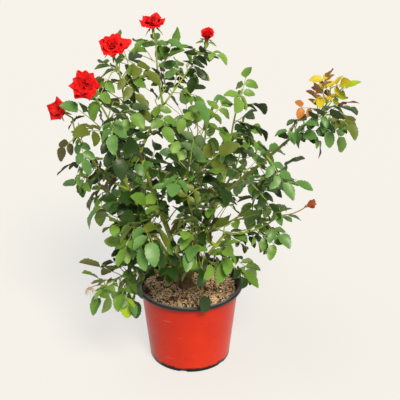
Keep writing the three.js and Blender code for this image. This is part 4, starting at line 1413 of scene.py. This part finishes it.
# Prickles: cones with an oval foot, 1.6 times as long along the cane, whose tips lean back down it.
def makePrickles(settings):
    rng = np.random.RandomState(settings["seed"])
    places, ways, outs, sizes = [], [], [], []
    for name in limbRows:
        curve, ends = paths[name]
        count = int(lengthOf(curve) / settings["prickleEvery"])
        t = rng.uniform(0.12, 0.98, count)
        way = tangentOn(curve, t)
        out = turned(across(way), way, rng.uniform(0, 2 * math.pi, count))
        places.append(pointOn(curve, t) + out * blend(ends, t)[:, None] * 0.9)
        ways.append(way)
        outs.append(out)
        sizes.append(rng.uniform(*settings["prickle"], count))
    place, way, out = (np.concatenate(part)[:, None, None] for part in (places, ways, outs))
    size = np.concatenate(sizes)[:, None, None, None]
    wide = np.cross(way, out)
    rise = np.array([0, 0, 0.35, 0.75, 1.0, 1.0])[None, :, None, None] * size
    girth = np.array([0, 1.0, 0.55, 0.25, 0.05, 0])[None, :, None, None] * size * 0.32
    back = (rise / size) ** 2 * size * 0.35
    turn = -ringTurns(6)[None, None, :, None]
    grid = place + out * rise - way * back + (wide * np.cos(turn) - way * np.sin(turn) * 1.6) * -girth
    rust = greenWood("prickle", ("#7c4a32", "#5a3524"), 0.5)
    putMesh("prickles", wrappedSkins(grid), [rust], list(limbRows))


makeCanes(cane)
makePrickles(cane)
print("canes made")


# The blooms. Each whorl of petals: how many, length and width in shares of the reach, the lean off
# the axis at the foot and at the tip in degrees, the cup at the foot and the roll back at the tip.
petal = {
    "rows": 11,
    "columns": 9,
    "thick": 0.5,
    "apex": 0.27,
    "budApex": 0.06,
    "ruffle": 0.09,
    "widest": 0.62,  # of the way along a petal
    "turnOn": 2.1,  # from one whorl to the next, radians
    # The innermost whorls take a deeper red: painted shade deep in the bloom's cup.
    "shadedHeartWhorls": 2,  # innermost whorls of the deeper red
    "loose": [(5, 1.02, 0.98, 52, 104, 0.5, 1.5), (5, 0.94, 0.92, 40, 84, 0.7, 1.3),
              (4, 0.82, 0.84, 28, 58, 0.9, 1.0), (4, 0.66, 0.7, 14, 30, 1.2, 0.6),
              (3, 0.5, 0.6, 5, 12, 1.7, 0.2)],
    "wide": [(6, 1.02, 0.86, 50, 96, 0.9, 1.7), (5, 0.96, 0.84, 38, 74, 1.1, 1.4),
             (5, 0.84, 0.74, 24, 52, 1.3, 1.2), (4, 0.62, 0.6, 12, 30, 1.5, 0.8)],
    "single": [(5, 1.12, 0.86, 44, 92, 1.0, 1.5), (4, 0.86, 0.72, 26, 62, 1.2, 1.1)],
    "closed": [(4, 1.0, 1.15, 26, 30, 1.4, 0.8), (5, 1.08, 0.95, 16, 6, 1.6, 0.2),
               (4, 0.98, 0.7, 7, -4, 2.0, 0.0), (3, 0.86, 0.5, 4, -8, 2.3, 0.0)],
    "kinds": {"bloom_top": "loose", "bud_top_right": "closed", "bloom_upper_left": "loose",
              "bloom_left": "wide", "bloom_outer_left": "single"},
}


# Petals of one whorl in the bloom's own frame, shape (count, rows, columns, 3). The middle line leans
# from foot to tip; across it the petal is an arc that cups forward at the foot and rolls back above.
def whorlGrids(reach, row, turn, rng, settings):
    count, length, width, leanFoot, leanTip, cup, roll = row

    def one(low, high):
        return rng.uniform(low, high, (count, 1, 1))

    v = np.linspace(0, 1, settings["rows"])[None, :, None]
    u = np.linspace(-1, 1, settings["columns"])[None, None]
    lean = np.radians(blend((leanFoot, leanTip), v**1.5) + one(-9, 9) * (0.4 + v))
    step = reach * length * one(0.84, 1.12) / (settings["rows"] - 1)
    out = reach * 0.05 + np.cumsum(np.sin(lean) * step, 1) - np.sin(lean) * step
    rise = np.cumsum(np.cos(lean) * step, 1) - np.cos(lean) * step
    widest = settings["widest"]
    half = reach * width * one(0.9, 1.1) / 2 * (0.3 + 0.7 * np.sin(np.minimum(v / widest, 1) * math.pi / 2))
    half = half * np.sqrt(1 - 0.8 * np.clip((v - widest) / (1 - widest), 0, 1) ** 2.5)
    curl = cup * (1 - v) - roll * one(0.7, 1.3) * v**2.2 + 0.02
    side = half * u * np.sinc(u * curl / math.pi)
    lift = half * u * np.sin(u * curl / 2) * np.sinc(u * curl / 2 / math.pi)
    lift = lift + reach * settings["ruffle"] * np.sin(u * 4 + one(0, 6)) * v**2
    drop = reach * length * settings["apex"] * np.abs(u) ** 2.2 * v**3
    angle = turn + 2 * math.pi * (np.arange(count) / count)[:, None, None] + one(-0.12, 0.12)
    thick = settings["thick"] * (1 - np.abs(u)) ** 0.5 * np.minimum(1, v * (1 - v) * 12)

    def place(lift):
        far = out - np.cos(lean) * lift - np.sin(lean) * drop
        high = rise + np.sin(lean) * lift - np.cos(lean) * drop
        return swung(far, side, high, angle)

    return place(lift - thick), place(lift)


# Points from a distance out and one to the side, both turned about the axis, and a height on it.
def swung(out, side, height, angle):
    x = out * np.cos(angle) - side * np.sin(angle)
    y = out * np.sin(angle) + side * np.cos(angle)
    return np.stack([x, y, height + 0 * x], -1)


# Carries shapes from a bloom's own frame to its seat: x and y square to the way it faces, z along it.
def seated(grids, seat, face):
    a = across(face)
    b = np.cross(face, a)
    return np.asarray(seat, float) + grids[..., :1] * a + grids[..., 1:2] * b + grids[..., 2:] * face


# All the petals of one bloom, their fronts and backs, each whorl turned on from the one round it.
def bloomGrids(seat, face, reach, rows, rng, settings):
    turn = 0.0
    grids = []
    for row in rows:
        grids.append(whorlGrids(reach, row, turn, rng, settings))
        turn += settings["turnOn"]
    return [seated(np.concatenate(part), seat, face) for part in zip(*grids)]


def petalMaterial(name, dark, bright):
    sockets = {"Specular IOR Level": 0.15, "Sheen Weight": 0.05}
    material, shader, tree, place = patterned(name, bright, 0.55, **sockets)
    colour = rampOf(tree, noiseOf(tree, place, 42.0), [(0.32, dark), (0.62, bright)])
    tree.links.new(colour, shader.inputs["Base Color"])
    addBumps(tree, shader, (noiseOf(tree, place, 240.0), 0.2, 0.0006),
             (noiseOf(tree, place, 70.0), 0.3, 0.0016))
    return material


def makeBlooms(settings):
    fronts, backs, inner = [], [], []
    for seed, (name, (stem, seat, face, reach)) in enumerate(flowers.items()):
        rng = np.random.RandomState(60 + seed)
        kind = settings["kinds"][name]
        rows = settings[kind]
        shape = settings | {"apex": settings["budApex"]} if kind == "closed" else settings
        front, back = bloomGrids(seat, face, reach, rows, rng, shape)
        fronts.append(front)
        backs.append(back)
        for level, row in enumerate(rows):
            inner += [int(level >= len(rows) - settings["shadedHeartWhorls"])] * row[0]
    skins = bladeSkins(np.concatenate(fronts), np.concatenate(backs), pointed=False)
    # The second red, on the innermost whorls, is painted shade deep in the bloom.
    reds = [petalMaterial("petal_red", "#c20709", "#e60e10"),
            petalMaterial("petal_shaded_heart", "#a0060a", "#cc0a0f")]
    putMesh("petals", skins, reds, list(flowers), perFace(inner, skins))


# The green of a bloom: its stalk, the urn of its hip and five narrow sepals that lean out or back.
calyx = {
    "stalkRows": 8,
    "stalk": 1.5,
    "sepals": 5,
    "rows": 9,
    "sepalWidth": 0.26,
    "budWidth": 0.6,
    "openLean": 128,  # degrees off the way the bloom faces
    "budLean": 96,
}


# The sepals of one bloom, fronts and backs: thin blades bent along an arc from the hip's shoulder.
def sepalGrids(hip, length, isBud, rng, settings):
    count = settings["sepals"]
    s = np.linspace(0, 1, settings["rows"])[None, :, None]
    v = np.array([-1.0, 0.0, 1.0])
    lean = math.radians(settings["budLean" if isBud else "openLean"])
    lean = lean + s * rng.uniform(0.1, 0.6, (count, 1, 1))
    step = length / (settings["rows"] - 1)
    out = hip * 0.8 + np.cumsum(np.sin(lean) * step, 1)
    rise = np.cumsum(np.cos(lean) * step, 1)
    width = settings["budWidth" if isBud else "sepalWidth"]
    side = v * length * width / 2 * (s + 0.12) ** 0.3 * (1 - s) ** 0.8 * 1.6
    angle = 0.6 + 2 * math.pi * np.arange(count)[:, None, None] / count
    edge = 0.25 * np.abs(v)
    return [swung(out, side, rise - down, angle) for down in (edge + 0.5 * (1 - np.abs(v)) * (1 - s), edge)]


def makeCalyxes(settings):
    tubes, urns, fronts, backs = [], [], [], []
    t = np.linspace(0, 1, settings["stalkRows"])
    for seed, (name, (stem, seat, face, reach)) in enumerate(flowers.items()):
        rng = np.random.RandomState(80 + seed)
        tubes.append(pointOn(bowed(pointOn(paths[stem][0], 1), seat, (0, 0, 0)), t))
        hip = 3 + reach * 0.05
        profile = [(0, -hip * 1.5), (1.5, -hip * 1.4), (hip * 0.8, -hip * 0.9), (hip, -hip * 0.3),
                   (hip * 0.95, hip * 0.2), (hip * 0.8, hip * 0.45), (0, hip * 0.4)]
        urns.append(seated(latheGrid(profile, 16), seat, face))
        front, back = sepalGrids(hip, 9 + reach * 0.4, name.startswith("bud"), rng, settings)
        fronts.append(seated(front, seat, face))
        backs.append(seated(back, seat, face))
    stalks = tubeSkins(np.stack(tubes), np.array(settings["stalk"]), 8)
    sepals = bladeSkins(np.concatenate(fronts), np.concatenate(backs))
    skin = joined([stalks, wrappedSkins(np.stack(urns)), sepals])
    green = greenWood("calyx_green", ("#5c7828", "#93a63a"))
    putMesh("calyxes", skin, [green], list(flowers))


# One round stalk from the end of a stem to a place, bowed a little.
def endStalk(stem, place, bow, rows, radius):
    line = bowed(pointOn(paths[stem][0], 1), place, bow)
    return tubeSkins(pointOn(line, np.linspace(0, 1, rows))[None], np.array(radius), 8)


# A small unopened bud on its own reddish stalk, at the end of the low right stem.
sideBud = {
    "stem": "foliage_low_right",
    "seat": (231, -90, 397),
    "face": (0.84, -0.1, 0.42),
    "reach": 18,
    "ruffle": 0.02,
    "hip": [(0, -5), (1.3, -4.4), (2.7, -1.5), (2.9, 0.6), (2.2, 2.4), (0, 2.6)],  # radius, height
}


def makeSideBud(settings):
    rng = np.random.RandomState(68)
    seat, face = np.array(settings["seat"], float), unit(np.array(settings["face"], float))
    shape = petal | {"apex": petal["budApex"], "ruffle": settings["ruffle"]}
    grids = bloomGrids(seat, face, settings["reach"], petal["closed"][1:], rng, shape)
    skins = bladeSkins(*grids, pointed=False)
    nodes = [settings["stem"]]
    putMesh("side_bud", skins, [petalMaterial("bud_tan", "#7c3a22", "#b05a38")], nodes)
    stalk = endStalk(settings["stem"], seat, (2, 0, -5), 12, 1.1)
    wood = joined([stalk, wrappedSkins(seated(latheGrid(settings["hip"], 12), seat, face)[None])])
    putMesh("side_bud_stalk", wood, [greenWood("bud_stalk", ("#8a5a3a", "#7d7a3a"))], nodes)


# What is left of a spent bloom at the end of the low left stem: a dry knob with thin drooping threads.
spentBloom = {
    "stem": "foliage_low_left",
    "knob": (-200, -105, 219),
    "head": [(0, -3.4), (2.4, -2.6), (3.6, 0), (2.6, 2.4), (0, 3)],  # radius, height
    "threads": 11,
    "thread": 0.75,
    "reach": 23,
    "seed": 69,
}


def makeSpentBloom(settings):
    rng = np.random.RandomState(settings["seed"])
    knob = np.array(settings["knob"], float)
    count = settings["threads"]
    t = np.linspace(0, 1, 9)[None, :, None]
    turn = 2 * math.pi * (np.arange(count) + rng.uniform(0, 0.6, count))
    turn = turn[:, None, None] / count
    reach = settings["reach"] * rng.uniform(0.6, 1.15, turn.shape)
    out = reach * 0.55 * np.sin(t * 1.5)
    drop = reach * (0.25 * t - 1.1 * t**2)
    ring = np.concatenate([out * np.cos(turn), out * np.sin(turn) * 0.8, drop], -1)
    threads = tubeSkins(knob + ring, settings["thread"] * (1 - 0.6 * t), 5)
    stalk = endStalk(settings["stem"], knob, (0, 0, 4), 9, 1.2)
    head = wrappedSkins((latheGrid(settings["head"], 12) + knob)[None])
    dry = greenWood("dry_bloom", ("#866c4a", "#ab9268"), 0.75)
    putMesh("spent_bloom", joined([threads, stalk, head]), [dry], [settings["stem"]])


makeBlooms(petal)
makeCalyxes(calyx)
makeSideBud(sideBud)
makeSpentBloom(spentBloom)
print("blooms made")
